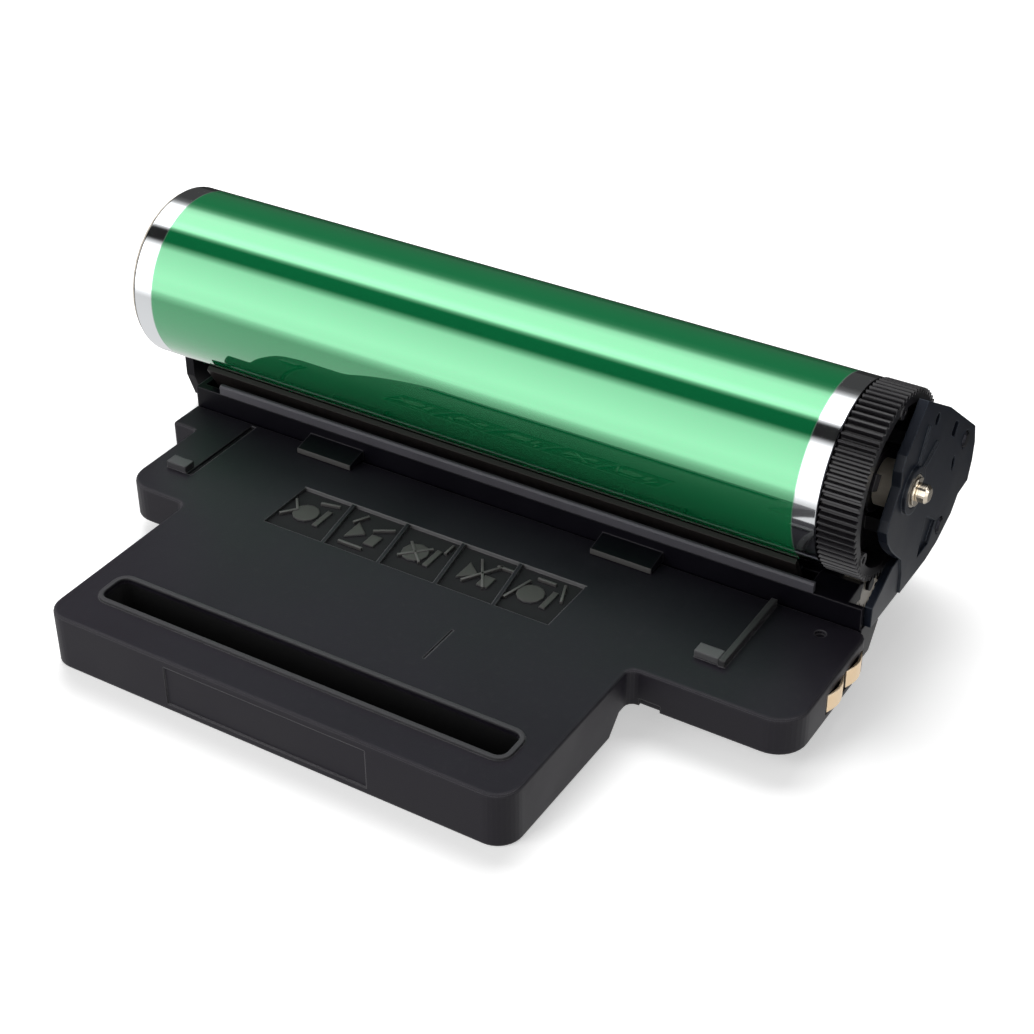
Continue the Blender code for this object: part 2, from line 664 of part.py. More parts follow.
def make_tray_base():
    bm = bmesh.new()
    add_prism(bm, tray_outline(TRAY_WALL + GAP), "Z", -PAST, TRAY_TOP)
    base = solid("tray_base", bm, CHARCOAL)

    bm = bmesh.new()
    front = TRAY_FRONT - PAST
    back = TRAY_REAR + PAST
    slope = EAR_BOTTOM
    turn = BASE_THICKNESS * STEP_TURN
    side = [
        (front, 0.0),
        (STEP_BACK - slope, 0.0),
        (STEP_BACK, EAR_BOTTOM),
        (back, EAR_BOTTOM),
        (back, EAR_BOTTOM + BASE_THICKNESS),
        (STEP_BACK - turn, EAR_BOTTOM + BASE_THICKNESS),
        (STEP_BACK - slope - turn, BASE_THICKNESS),
        (front, BASE_THICKNESS),
    ]
    add_prism(bm, side, "X", WING_LEFT - PAST, PLATE_OUTER + PAST)
    combine(base, bm, "INTERSECT")

    bm = bmesh.new()
    for i in range(BAFFLES):
        x = HANDLE_CENTRE + (i - (BAFFLES - 1) / 2) * BAFFLE_PITCH
        add_box(bm, (x - BAFFLE_WALL / 2, SLOT_Y + SLOT_WIDTH / 2 + BAFFLE_SETBACK, BASE_THICKNESS / 2),
                (x + BAFFLE_WALL / 2, STEP_BACK - slope - BAFFLE_WALL, TRAY_TOP - TRAY_WALL - GAP))
    combine(base, bm, "UNION")

    bm = bmesh.new()
    for x, y, z in TRAY_SCREWS:
        add_prism(bm, ring_of(x, y, SCREW_RADIUS + GAP, 12), "Z", z - PAST, z + BASE_THICKNESS + PAST)
        add_prism(bm, ring_of(x, y, SCREW_HEAD_RADIUS + GAP, 16), "Z", z - PAST, z + SCREW_HEAD + GAP)
    combine(base, bm, "DIFFERENCE")

    for i, (x, y, z) in enumerate(TRAY_SCREWS):
        bm = bmesh.new()
        add_prism(bm, ring_of(x, y, SCREW_HEAD_RADIUS, 16), "Z", z + HEAD_SUNK, z + SCREW_HEAD)
        screw = solid(f"tray_screw_{i + 1}", bm, STEEL)
        bm = bmesh.new()
        add_prism(bm, ring_of(x, y, SCREW_RADIUS, 12), "Z", z + SCREW_HEAD / 2, z + SCREW_LENGTH)
        combine(screw, bm, "UNION")


# Brass leaves bowed outward from the pocket in the tray's right wall.
def make_contacts():
    width = (CONTACT_BACK - CONTACT_FRONT - CONTACT_SPACE) / 2
    seat = PLATE_OUTER - CONTACT_POCKET + GAP
    for name, start in (("contact_front", CONTACT_FRONT), ("contact_rear", CONTACT_BACK - width)):
        steps = 8
        outer = []
        inner = []
        for i in range(steps + 1):
            t = i / steps
            bow = CONTACT_BOW * math.sin(math.pi * t)
            y = start + width * t
            outer.append((seat + CONTACT_THICKNESS + bow, y))
            inner.append((seat + bow * 0.8, y))
        bm = bmesh.new()
        add_prism(bm, outer + inner[::-1], "Z", CONTACT_LOW, CONTACT_HIGH)
        solid(name, bm, BRASS)


# Frame: one long moulding with the waste trough, the roller bay and the gear bay.

def from_axis(points):
    return [(y, AXIS_HEIGHT + z) for y, z in points]


def blade_point(along, out):
    start = Vector((math.cos(BLADE_CONTACT), math.sin(BLADE_CONTACT))) * (DRUM_RADIUS + GAP)
    tangent = Vector((-math.sin(BLADE_CONTACT), math.cos(BLADE_CONTACT)))
    radial = Vector((math.cos(BLADE_CONTACT), math.sin(BLADE_CONTACT)))
    down = tangent * math.cos(BLADE_LEAN) + radial * math.sin(BLADE_LEAN)
    normal = Vector((-down.y, down.x))
    point = start + down * along + normal * out
    return (point.x, AXIS_HEIGHT + point.y)


def radial_point(distance, across):
    along = Vector((math.cos(ROLLER_ANGLE), math.sin(ROLLER_ANGLE)))
    side = Vector((-along.y, along.x))
    point = along * distance + side * across
    return (point.x, AXIS_HEIGHT + point.y)


def make_frame():
    section = [
        (TRAY_REAR, EAR_BOTTOM),
        (KEEL_FRONT - KEEL_SLOPE, EAR_BOTTOM),
        (KEEL_FRONT, 0.0),
        (REAR_KEEL, 0.0),
        (REAR_TURN, REAR_CHAMFER),
        (REAR_DEPTH, REAR_STRAIGHT),
        (REAR_DEPTH, REAR_TOP),
        (0.0, REAR_TOP),
        (KEEL_FRONT - KEEL_SLOPE, FRONT_WALL_TOP),
        (TRAY_REAR, FRONT_WALL_TOP),
    ]
    bm = bmesh.new()
    add_prism(bm, section, "X", FRAME_LEFT, FRAME_RIGHT)
    frame = solid("drum_frame", bm, CHARCOAL)

    seat = PLATE_INNER - GAP
    bm = bmesh.new()
    add_prism(bm, inset(BAY_OUTLINE, HOUSING_INSET), "X", FRAME_RIGHT - FRAME_WALL, seat)
    shelf = TRAY_TOP - BAY_WALL
    nose = [
        (TRAY_REAR, EAR_BOTTOM),
        (KEEL_FRONT - BAY_WALL, EAR_BOTTOM),
        (BAY_WALL, EAR_BOTTOM + NOSE_RISE),
        (NOSE_BACK, EAR_BOTTOM + NOSE_SLOPE),
        (NOSE_BACK, NOSE_TOP),
        (TRAY_REAR, FRONT_WALL_TOP),
    ]
    add_prism(bm, nose, "X", FRAME_RIGHT - FRAME_WALL, BAY_RIGHT)
    add_box(bm, (FRAME_RIGHT - PAST, TRAY_REAR, shelf), (seat, SHELF_BACK, TRAY_TOP))
    foot = [
        (TRAY_REAR, EAR_BOTTOM),
        (TRAY_REAR + TRAY_OVERLAP, EAR_BOTTOM),
        (SHELF_BACK, shelf),
        (SHELF_BACK, TRAY_TOP),
        (TRAY_REAR, TRAY_TOP),
    ]
    add_prism(bm, foot, "X", PLATE_INNER - PAST, PLATE_OUTER - FOOT_INSET)
    add_box(bm, (FRAME_RIGHT - PAST, TRAY_REAR, EAR_BOTTOM),
            (PLATE_INNER, TRAY_REAR + LIP_WALL, FRONT_WALL_TOP))
    combine(frame, bm, "UNION")

    bm = bmesh.new()
    wall = FRAME_WALL
    add_rod(bm, FRAME_LEFT - PAST, PLATE_OUTER + PAST, CRADLE_RADIUS, (0, AXIS_HEIGHT), 64)
    add_box(bm, (FRAME_LEFT - PAST, TRAY_REAR - PAST, -PAST), (WING_LEFT, REAR_START, AXIS_HEIGHT))
    combine(frame, bm, "DIFFERENCE")

    bm = bmesh.new()
    trough = arc((AUGER_Y, AUGER_Z), AUGER_RADIUS + TROUGH_CLEARANCE, math.pi, 2 * math.pi, 8)
    trough += [blade_point(BRACKET_END + GAP, 0)]
    trough += [blade_point(BRACKET_END + GAP, BRACKET_THICKNESS + 2 * GAP)]
    trough += [blade_point(BRACKET_START - BLADE_REACH / 2, BRACKET_THICKNESS + 2 * GAP)]
    trough += [(AUGER_Y - AUGER_RADIUS - TROUGH_CLEARANCE, FRONT_WALL_TOP + STRIP_HEIGHT)]
    add_prism(bm, trough, "X", BLADE_LEFT - PAST, FRAME_RIGHT - FRAME_WALL)
    bay = [
        (ROLLER_BAY, wall),
        (REAR_KEEL - wall / 2, wall),
        (REAR_TURN - wall, REAR_CHAMFER + wall / 2),
        (REAR_DEPTH - wall, REAR_STRAIGHT),
        (REAR_DEPTH - wall, REAR_TOP + PAST),
        (ROLLER_BAY, REAR_TOP + PAST),
    ]
    add_prism(bm, bay, "X", -BEARING_START, BEARING_START)
    combine(frame, bm, "DIFFERENCE")

    # Slots where the charge roller's bearings slide towards the drum
    bm = bmesh.new()
    half = BEARING_HALF + GAP
    mouth = DRUM_RADIUS - PAST
    slot = [
        radial_point(mouth, -half),
        radial_point(SLOT_END, -half),
        radial_point(SLOT_END, half),
        radial_point(mouth, half),
    ]
    for side in (-1, 1):
        start = side * (BEARING_START - PAST)
        end = side * (BEARING_START + BEARING_WIDTH + 2 * GAP)
        add_prism(bm, slot, "X", min(start, end), max(start, end))
    # Pockets under the middle beam, between cross ribs
    pocket = (BLADE_RIGHT - BLADE_LEFT) / POCKETS
    for i in range(POCKETS):
        left = BLADE_LEFT + pocket * i + wall / 2
        add_box(bm, (left, POCKET_FRONT, -PAST), (left + pocket - wall, ROLLER_BAY - wall, POCKET_TOP))
    combine(frame, bm, "DIFFERENCE")

    # Gear bay, open towards the end plate
    bm = bmesh.new()
    bay_left = FRAME_RIGHT
    add_prism(bm, inset(BAY_OUTLINE, HOUSING_INSET + BAY_WALL), "X", bay_left, PLATE_OUTER)
    add_rod(bm, bay_left, PLATE_OUTER + PAST, IDLER_RADIUS + MODULE + PAST, IDLER_PLACE, 32)
    add_rod(bm, bay_left, BAY_RIGHT + BAY_WALL, AUGER_GEAR_RADIUS + MODULE + 2 * GAP, AUGER_PLACE, 32)
    add_box(bm, WASTE_DOOR[0], WASTE_DOOR[1])
    combine(frame, bm, "DIFFERENCE")

    bm = bmesh.new()
    for place in from_axis(RIGHT_SCREWS):
        add_rod(bm, FRAME_RIGHT - PAST, seat, SCREW_BOSS, place, 16)
    add_rod(bm, FRAME_RIGHT - PAST, SMALL_GEAR_END + PAST, IDLER_PIN, IDLER_PLACE, 20)
    shoulder = SMALL_GEAR_END - SMALL_GEAR_WIDTH - GAP
    add_rod(bm, FRAME_RIGHT - PAST, shoulder, IDLER_PIN + SHOULDER_WALL, IDLER_PLACE, 20)
    for x in TONGUE_PLACES:
        tongue = [
            (TRAY_REAR - TONGUE_DEPTH, TRAY_TOP + GAP),
            (TRAY_REAR + PAST, TRAY_TOP + GAP),
            (TRAY_REAR + PAST, TRAY_TOP + GAP + 2 * TONGUE_THICKNESS),
            (TRAY_REAR, TRAY_TOP + GAP + 2 * TONGUE_THICKNESS),
            (TRAY_REAR - TONGUE_DEPTH, TRAY_TOP + GAP + TONGUE_THICKNESS),
        ]
        add_prism(bm, tongue, "X", x - TONGUE_LENGTH / 2, x + TONGUE_LENGTH / 2)
        add_box(bm, (x - CATCH_LENGTH / 2, CATCH_Y - CATCH_WIDTH / 2, TRAY_TOP - CATCH_DEPTH),
                (x + CATCH_LENGTH / 2, CATCH_Y + CATCH_WIDTH / 2, TRAY_TOP + PAST))
    combine(frame, bm, "UNION")

    bm = bmesh.new()
    for place in from_axis(RIGHT_SCREWS):
        add_rod(bm, seat - SCREW_LENGTH, PLATE_OUTER, SCREW_RADIUS + GAP, place, 12)
    for place in from_axis(LEFT_SCREWS):
        add_rod(bm, FRAME_LEFT - PAST, FRAME_LEFT + SCREW_LENGTH, SCREW_RADIUS + GAP, place, 12)
    add_rod(bm, WING_LEFT - PAST, BLADE_LEFT, AUGER_CORE + RUNNING, (AUGER_Y, AUGER_Z), 24)
    for x in BLADE_SCREWS:
        add_blade_pin(bm, x, 2 * GAP, BLADE_SCREW_DEPTH + PAST, BLADE_SCREW_RADIUS + GAP)
    add_rod(bm, FRAME_RIGHT - FRAME_WALL - PAST, FRAME_RIGHT + PAST, AUGER_CORE + RUNNING,
            (AUGER_Y, AUGER_Z), 24)
    combine(frame, bm, "DIFFERENCE")

    bm = bmesh.new()
    front = TRAY_REAR - GAP
    low = FRONT_WALL_TOP + GAP
    strip = [
        (front, low),
        (front + STRIP_DEPTH, low),
        (front + STRIP_DEPTH, low + STRIP_HEIGHT),
        (front + STRIP_EDGE, low + STRIP_HEIGHT),
        (front, low + STRIP_HEIGHT - STRIP_EDGE),
    ]
    add_prism(bm, strip, "X", STRIP_LEFT, FRAME_RIGHT)
    solid("seal_strip", bm, PALE_GREY)


def make_end_plates():
    centre = (0, AXIS_HEIGHT)
    bm = bmesh.new()
    add_prism(bm, from_axis(PLATE_CORNERS[1:] + PLATE_FRONT), "X", PLATE_INNER, PLATE_OUTER)
    right = solid("right_end_plate", bm, BLUE_BLACK)
    bm = bmesh.new()
    skirt = [
        (TRAY_REAR + LIP_WALL + GAP, TRAY_TOP + GAP),
        (SKIRT_BACK, TRAY_TOP + GAP),
        (SKIRT_BACK, SKIRT_TOP + PAST),
        (SHELF_BACK, SKIRT_TOP),
        (TRAY_REAR + LIP_WALL + GAP, FRONT_WALL_TOP),
    ]
    add_prism(bm, skirt, "X", PLATE_INNER, PLATE_OUTER - SKIRT_INSET)
    combine(right, bm, "UNION")
    bm = bmesh.new()
    collar = BUSH_RADIUS + COLLAR_WALL
    add_rod(bm, PLATE_OUTER - PAST, PLATE_OUTER + BUSH_PROUD, collar, centre, 32)
    for angle in SPOKE_ANGLES:
        near = collar - PAST
        far = SPOKE_LENGTH
        corners = ((near, -SPOKE_HALF), (far, -SPOKE_HALF), (far, SPOKE_HALF), (near, SPOKE_HALF))
        spoke = [(math.cos(angle) * r - math.sin(angle) * w, math.sin(angle) * r + math.cos(angle) * w)
                 for r, w in corners]
        add_prism(bm, from_axis(spoke), "X", PLATE_OUTER - PAST, PLATE_OUTER + SPOKE_PROUD)
    combine(right, bm, "UNION")
    bm = bmesh.new()
    near = PLATE_INNER - PAST
    far = PLATE_OUTER + PAST
    add_rod(bm, near, far + BUSH_PROUD, BUSH_RADIUS + GAP, centre, 32)
    for place in from_axis(RIGHT_SCREWS):
        add_rod(bm, near, far, SCREW_RADIUS + GAP, place, 12)
        add_rod(bm, PLATE_OUTER - SCREW_HEAD + PLATE_SCREW_SUNK, far, SCREW_HEAD_RADIUS + GAP, place, 16)
    add_rod(bm, near, far, PEEP_RADIUS, from_axis([PEEP_PLACE])[0], 16)
    add_prism(bm, from_axis(rounded(WINDOW, [WINDOW_RADIUS] * 4)), "X", near, far)
    half_width = OVAL_WIDTH / 2
    half_height = OVAL_HEIGHT / 2
    oval = [(OVAL_PLACE[0] + side * half_width, OVAL_PLACE[1] + rise * half_height)
            for side, rise in ((-1, -1), (1, -1), (1, 1), (-1, 1))]
    add_prism(bm, from_axis(rounded(oval, [OVAL_CORNER] * 4)), "X", near, far)
    add_prism(bm, from_axis(HOLLOW), "X", PLATE_OUTER - HOLLOW_DEPTH, far)
    combine(right, bm, "DIFFERENCE")

    head = arc((0, 0), LEFT_HEAD_RADIUS, math.radians(40), math.radians(270), 22)
    outline = from_axis(head) + list(LEFT_FOOT) + [
        (KEEL_SLOPE * 2, GAP),
        (REAR_KEEL, GAP),
        (REAR_TURN, REAR_CHAMFER),
        (REAR_DEPTH, REAR_STRAIGHT),
        (REAR_DEPTH, REAR_TOP),
    ]
    bm = bmesh.new()
    add_prism(bm, outline, "X", LEFT_OUTER, LEFT_INNER)
    left = solid("left_end_plate", bm, CHARCOAL)
    bm = bmesh.new()
    near = LEFT_OUTER - PAST
    add_rod(bm, near, LEFT_INNER + PAST, BUSH_RADIUS + GAP, centre, 32)
    for place in from_axis(LEFT_SCREWS):
        add_rod(bm, near, LEFT_INNER + PAST, SCREW_RADIUS + GAP, place, 12)
        add_rod(bm, near, LEFT_OUTER + SCREW_HEAD, SCREW_HEAD_RADIUS + GAP, place, 16)
    add_prism(bm, from_axis(LEFT_POCKET), "X", near, LEFT_OUTER + LEFT_PLATE_THICKNESS / 2)
    combine(left, bm, "DIFFERENCE")

    number = 1
    for places, face, inward in ((RIGHT_SCREWS, PLATE_OUTER, -1), (LEFT_SCREWS, LEFT_OUTER, 1)):
        sunk = SCREW_HEAD - (PLATE_SCREW_SUNK if inward < 0 else 0.0)
        for y, z in places:
            place = (y, AXIS_HEIGHT + z)
            inner = face + inward * (sunk - GAP)
            profile = [
                (inner - inward * SCREW_HEAD, SCREW_HEAD_RADIUS * 0.75),
                (inner - inward * SCREW_HEAD * 0.6, SCREW_HEAD_RADIUS),
                (inner, SCREW_HEAD_RADIUS),
                (inner, SCREW_RADIUS),
                (inner + inward * (SCREW_LENGTH - SCREW_HEAD), SCREW_RADIUS),
            ]
            bm = bmesh.new()
            add_turned(bm, profile, place, 12)
            solid(f"plate_screw_{number}", bm, DARK_STEEL)
            number += 1


# A flanged bush in each plate; the flange lies between the plate and the drum.
def make_bushings():
    centre = (0, AXIS_HEIGHT)
    bore = SHAFT_RADIUS + RUNNING
    for name, inner, outer, flange, way in (
            ("right_bushing", PLATE_INNER, PLATE_OUTER, BUSH_FLANGE, 1),
            ("left_bushing", LEFT_INNER, LEFT_OUTER, LEFT_BUSH_FLANGE, -1)):
        face = inner - way * GAP
        profile = [
            (face - way * flange, bore),
            (face - way * flange, BUSH_FLANGE_RADIUS),
            (face, BUSH_FLANGE_RADIUS),
            (face, BUSH_RADIUS),
            (outer + way * BUSH_PROUD, BUSH_RADIUS),
            (outer + way * BUSH_PROUD, bore),
        ]
        bm = bmesh.new()
        add_turned(bm, profile, centre, 28, True)
        solid(name, bm, WHITE_PLASTIC)


# Drum: tube, flange gear, left flange, shaft and its two retaining rings.

def gear_outline(teeth, centre, phase):
    pitch = MODULE * teeth / 2
    base = pitch * math.cos(PRESSURE_ANGLE)
    root = pitch - 1.25 * MODULE
    tip = pitch + 0.85 * MODULE
    levels = [root, pitch, tip] if root > base else [root, base, pitch, tip]

    def half_tooth(radius):
        rise = math.acos(min(1.0, base / radius))
        spread = math.tan(PRESSURE_ANGLE) - PRESSURE_ANGLE - math.tan(rise) + rise
        return (math.pi * MODULE / 2 - BACKLASH) / (2 * pitch) + spread

    points = []
    for k in range(teeth):
        middle = phase + 2 * math.pi * k / teeth
        sides = [(-1, r) for r in levels] + [(1, r) for r in levels[::-1]]
        for side, radius in sides:
            a = middle + side * half_tooth(radius)
            points.append((centre[0] + radius * math.cos(a), centre[1] + radius * math.sin(a)))
    return points


def mesh_phase(teeth, centre, other_teeth, other_centre, other_phase):
    ahead = math.atan2(centre[1] - other_centre[1], centre[0] - other_centre[0])
    turns = (other_phase - ahead) * other_teeth / (2 * math.pi) + 0.5
    return ahead + math.pi - 2 * math.pi / teeth * turns


def make_drum():
    centre = (0, AXIS_HEIGHT)
    axis = (0, 0, AXIS_HEIGHT)
    inner = DRUM_RADIUS - DRUM_WALL
    bm = bmesh.new()
    edge = TUBE_CHAMFER
    profile = [
        (-DRUM_END, inner),
        (-DRUM_END, DRUM_RADIUS - edge),
        (-DRUM_END + edge, DRUM_RADIUS),
        (-DRUM_END + BARE_BAND, DRUM_RADIUS),
        (DRUM_END - BARE_BAND, DRUM_RADIUS),
        (DRUM_END - edge, DRUM_RADIUS),
        (DRUM_END, DRUM_RADIUS - edge),
        (DRUM_END, inner),
    ]
    add_turned(bm, profile, centre, DRUM_SIDES, True)
    tube = solid("drum_tube", bm, ALUMINIUM, axis)
    tube.data.materials.append(GREEN_COAT)
    for face in tube.data.polygons:
        middle = face.center
        if abs(middle.x) < DRUM_END - BARE_BAND and middle.yz.length > inner + DRUM_WALL / 2:
            face.material_index = 1

    # Gear with a deep recess in its outer side, closed behind by a web that carries the hub
    left = DRUM_END + GAP
    right = GEAR_OUTER
    bm = bmesh.new()
    add_prism(bm, gear_outline(DRUM_TEETH, centre, 0.0), "X", left, right)
    gear = solid("drum_gear", bm, BLACK_PLASTIC, axis)
    bm = bmesh.new()
    rim = MODULE * DRUM_TEETH / 2 - RIM_WALL
    hub = HUB_RADIUS + HUB_WALL
    floor = right - RECESS_DEPTH
    recess = [(floor, hub), (right + PAST, hub), (right + PAST, rim), (floor, rim)]
    add_turned(bm, recess, centre, 48, True)
    add_rod(bm, right - HUB_RECESS, right + PAST, hub + PAST, centre, 48)
    combine(gear, bm, "DIFFERENCE")
    bm = bmesh.new()
    plug = inner - GAP
    profile = [
        (left - PLUG_DEPTH, plug - PLUG_WALL),
        (left - PLUG_DEPTH, plug - PLUG_CHAMFER),
        (left - PLUG_DEPTH + PAST, plug),
        (left + PAST, plug),
        (left + PAST, plug - PLUG_WALL),
    ]
    add_turned(bm, profile, centre, 48, True)
    bosses = []
    for i in range(3):
        a = RIM_BOSS_START + 2 * math.pi * i / 3
        bosses.append((math.cos(a) * rim, AXIS_HEIGHT + math.sin(a) * rim))
        add_rod(bm, floor - GAP, right + RIM_BOSS_PROUD, RIM_BOSS, bosses[-1], 16)
    for i in range(3):
        a = CLAW_START + 2 * math.pi * i / 3
        corners = (
            (-CLAW_ROOT, CLAW_NEAR),
            (-CLAW_TIP, CLAW_FAR),
            (CLAW_TIP, CLAW_FAR),
            (CLAW_ROOT, CLAW_NEAR),
        )
        claw = [(math.cos(a + s) * r, math.sin(a + s) * r) for s, r in corners]
        add_prism(bm, from_axis(claw), "X", floor - GAP, right - CLAW_SUNK)
    combine(gear, bm, "UNION")
    bm = bmesh.new()
    add_rod(bm, left - PAST, right + PAST, SHAFT_RADIUS + GAP, centre, 24)
    for place in bosses:
        add_rod(bm, right - DIMPLE_DEPTH, right + PAST, RIM_BOSS / 2, place, 12)
    combine(gear, bm, "DIFFERENCE")

    # Left flange
    face = -DRUM_END - GAP
    profile = [
        (face - FLANGE_LIP, SHAFT_RADIUS + GAP),
        (face - FLANGE_LIP, HUB_RADIUS),
        (face - FLANGE_LIP, DRUM_RADIUS - PAST),
        (face, DRUM_RADIUS - PLUG_CHAMFER),
        (face, plug),
        (face + PLUG_DEPTH - PAST, plug),
        (face + PLUG_DEPTH, plug - PLUG_CHAMFER),
        (face + PLUG_DEPTH, plug - PLUG_WALL),
        (face + PLUG_WALL, plug - PLUG_WALL),
        (face + PLUG_WALL, HUB_RADIUS),
        (face + PLUG_DEPTH - PLUG_WALL, HUB_RADIUS),
        (face + PLUG_DEPTH - PLUG_WALL, SHAFT_RADIUS + GAP),
    ]
    bm = bmesh.new()
    add_turned(bm, profile, centre, 36, True)
    solid("left_flange", bm, WHITE_PLASTIC, axis)

    tip = PLATE_OUTER + SHAFT_TIP
    tail = LEFT_OUTER - BUSH_PROUD - SHAFT_TAIL
    groove = SHAFT_RADIUS - CLIP_GROOVE
    right_clip = PLATE_OUTER + BUSH_PROUD + GAP
    left_clip = LEFT_OUTER - BUSH_PROUD - GAP - CLIP_THICKNESS
    profile = [(tail, SHAFT_RADIUS - SHAFT_CHAMFER), (tail + SHAFT_CHAMFER, SHAFT_RADIUS)]
    for start in (left_clip, right_clip):
        profile += [
            (start - RUNNING, SHAFT_RADIUS),
            (start - RUNNING, groove),
            (start + CLIP_THICKNESS + RUNNING, groove),
            (start + CLIP_THICKNESS + RUNNING, SHAFT_RADIUS),
        ]
    profile += [(tip - SHAFT_CHAMFER, SHAFT_RADIUS), (tip, SHAFT_RADIUS - SHAFT_CHAMFER)]
    bm = bmesh.new()
    add_turned(bm, profile, centre, 24)
    solid("drum_shaft", bm, STEEL, axis)

    # Retaining rings, open on one side
    for name, start in (("shaft_clip_left", left_clip), ("shaft_clip_right", right_clip)):
        outer = arc(centre, CLIP_RADIUS, CLIP_OPENING, 2 * math.pi - CLIP_OPENING, 18)
        bore = arc(centre, groove + RUNNING, 2 * math.pi - CLIP_OPENING, CLIP_OPENING, 18)
        bm = bmesh.new()
        add_prism(bm, outer + bore, "X", start, start + CLIP_THICKNESS)
        solid(name, bm, STEEL, axis)


def make_rollers():
    charge = radial_point(DRUM_RADIUS + GAP + CHARGE_RADIUS, 0)
    cleaner = radial_point(DRUM_RADIUS + CHARGE_RADIUS * 2 + CLEANER_RADIUS + 2 * GAP, 0)
    half = CHARGE_LENGTH / 2
    end = BEARING_START + BEARING_WIDTH
    chamfer = ROLLER_CHAMFER
    for name, place, radius, core, surface in (
            ("charge_roller", charge, CHARGE_RADIUS, CHARGE_CORE, RUBBER),
            ("cleaner", cleaner, CLEANER_RADIUS, CLEANER_CORE, FOAM)):
        origin = (0, place[0], place[1])
        bm = bmesh.new()
        profile = [
            (-half, core + GAP),
            (-half, radius - chamfer),
            (-half + chamfer, radius),
            (half - chamfer, radius),
            (half, radius - chamfer),
            (half, core + GAP),
        ]
        add_turned(bm, profile, place, 24, True)
        solid(f"{name}_sleeve", bm, surface, origin)
        bm = bmesh.new()
        profile = [
            (-end, core - chamfer),
            (-end + chamfer, core),
            (end - chamfer, core),
            (end, core - chamfer),
        ]
        add_turned(bm, profile, place, 20)
        solid(f"{name}_core", bm, STEEL, origin)

    low = DRUM_RADIUS + BEARING_SETBACK
    high = DRUM_RADIUS + 2 * CHARGE_RADIUS + 2 * CLEANER_RADIUS
    block = [radial_point(low, -BEARING_HALF), radial_point(high, -BEARING_HALF),
             radial_point(high, BEARING_HALF), radial_point(low, BEARING_HALF)]
    for name, side in (("left", -1), ("right", 1)):
        start = side * (BEARING_START + GAP)
        stop = side * (BEARING_START + GAP + BEARING_WIDTH)
        bm = bmesh.new()
        add_prism(bm, block, "X", min(start, stop), max(start, stop))
        bearing = solid(f"roller_bearing_{name}", bm, WHITE_PLASTIC)
        bm = bmesh.new()
        for place, core in ((charge, CHARGE_CORE), (cleaner, CLEANER_CORE)):
            add_rod(bm, min(start, stop) - PAST, max(start, stop) + PAST, core + RUNNING, place, 24)
        combine(bearing, bm, "DIFFERENCE")
        # Spring between the block and the end of its slot
        rings = []
        steps = SPRING_TURNS * 8
        first = high + GAP + WIRE_RADIUS
        rise = SLOT_END - GAP - WIRE_RADIUS - first
        middle = (start + stop) / 2
        for i in range(steps + 1):
            a = 2 * math.pi * i / 8
            ring = []
            for j in range(5):
                b = 2 * math.pi * j / 5
                reach = SPRING_RADIUS + WIRE_RADIUS * math.cos(b)
                along = first + rise * i / steps + WIRE_RADIUS * math.sin(b)
                y, z = radial_point(along, reach * math.sin(a))
                ring.append((middle + reach * math.cos(a), y, z))
            rings.append(ring)
        bm = bmesh.new()
        add_stack(bm, rings)
        solid(f"bearing_spring_{name}", bm, STEEL)


# A pin square to the blade's bracket, from one distance behind its front face to another.
def add_blade_pin(bm, x, first, last, radius):
    along = (BLADE_REACH + BRACKET_END) / 2
    add_pin(bm, (x, *blade_point(along, first)), (x, *blade_point(along, last)), radius)


def make_blade():
    bm = bmesh.new()
    blade = [blade_point(0, 0), blade_point(BLADE_REACH, 0),
             blade_point(BLADE_REACH, -BLADE_THICKNESS), blade_point(GAP, -BLADE_THICKNESS)]
    add_prism(bm, blade, "X", BLADE_LEFT, BLADE_RIGHT)
    solid("cleaning_blade", bm, URETHANE)
    bm = bmesh.new()
    bracket = [blade_point(BRACKET_START, GAP), blade_point(BRACKET_END, GAP),
               blade_point(BRACKET_END, GAP + BRACKET_THICKNESS),
               blade_point(BRACKET_START, GAP + BRACKET_THICKNESS)]
    add_prism(bm, bracket, "X", BLADE_LEFT, BLADE_RIGHT)
    plate = solid("blade_bracket", bm, DARK_STEEL)
    bm = bmesh.new()
    for x in BLADE_SCREWS:
        add_blade_pin(bm, x, -PAST, 2 * PAST, BLADE_SCREW_RADIUS + GAP)
    combine(plate, bm, "DIFFERENCE")
    for i, x in enumerate(BLADE_SCREWS):
        bm = bmesh.new()
        add_blade_pin(bm, x, -BLADE_SCREW_THICKNESS, 0.0, BLADE_SCREW_HEAD)
        screw = solid(f"blade_screw_{i + 1}", bm, DARK_STEEL)
        bm = bmesh.new()
        add_blade_pin(bm, x, -BLADE_SCREW_THICKNESS / 2, BLADE_SCREW_DEPTH, BLADE_SCREW_RADIUS)
        combine(screw, bm, "UNION")


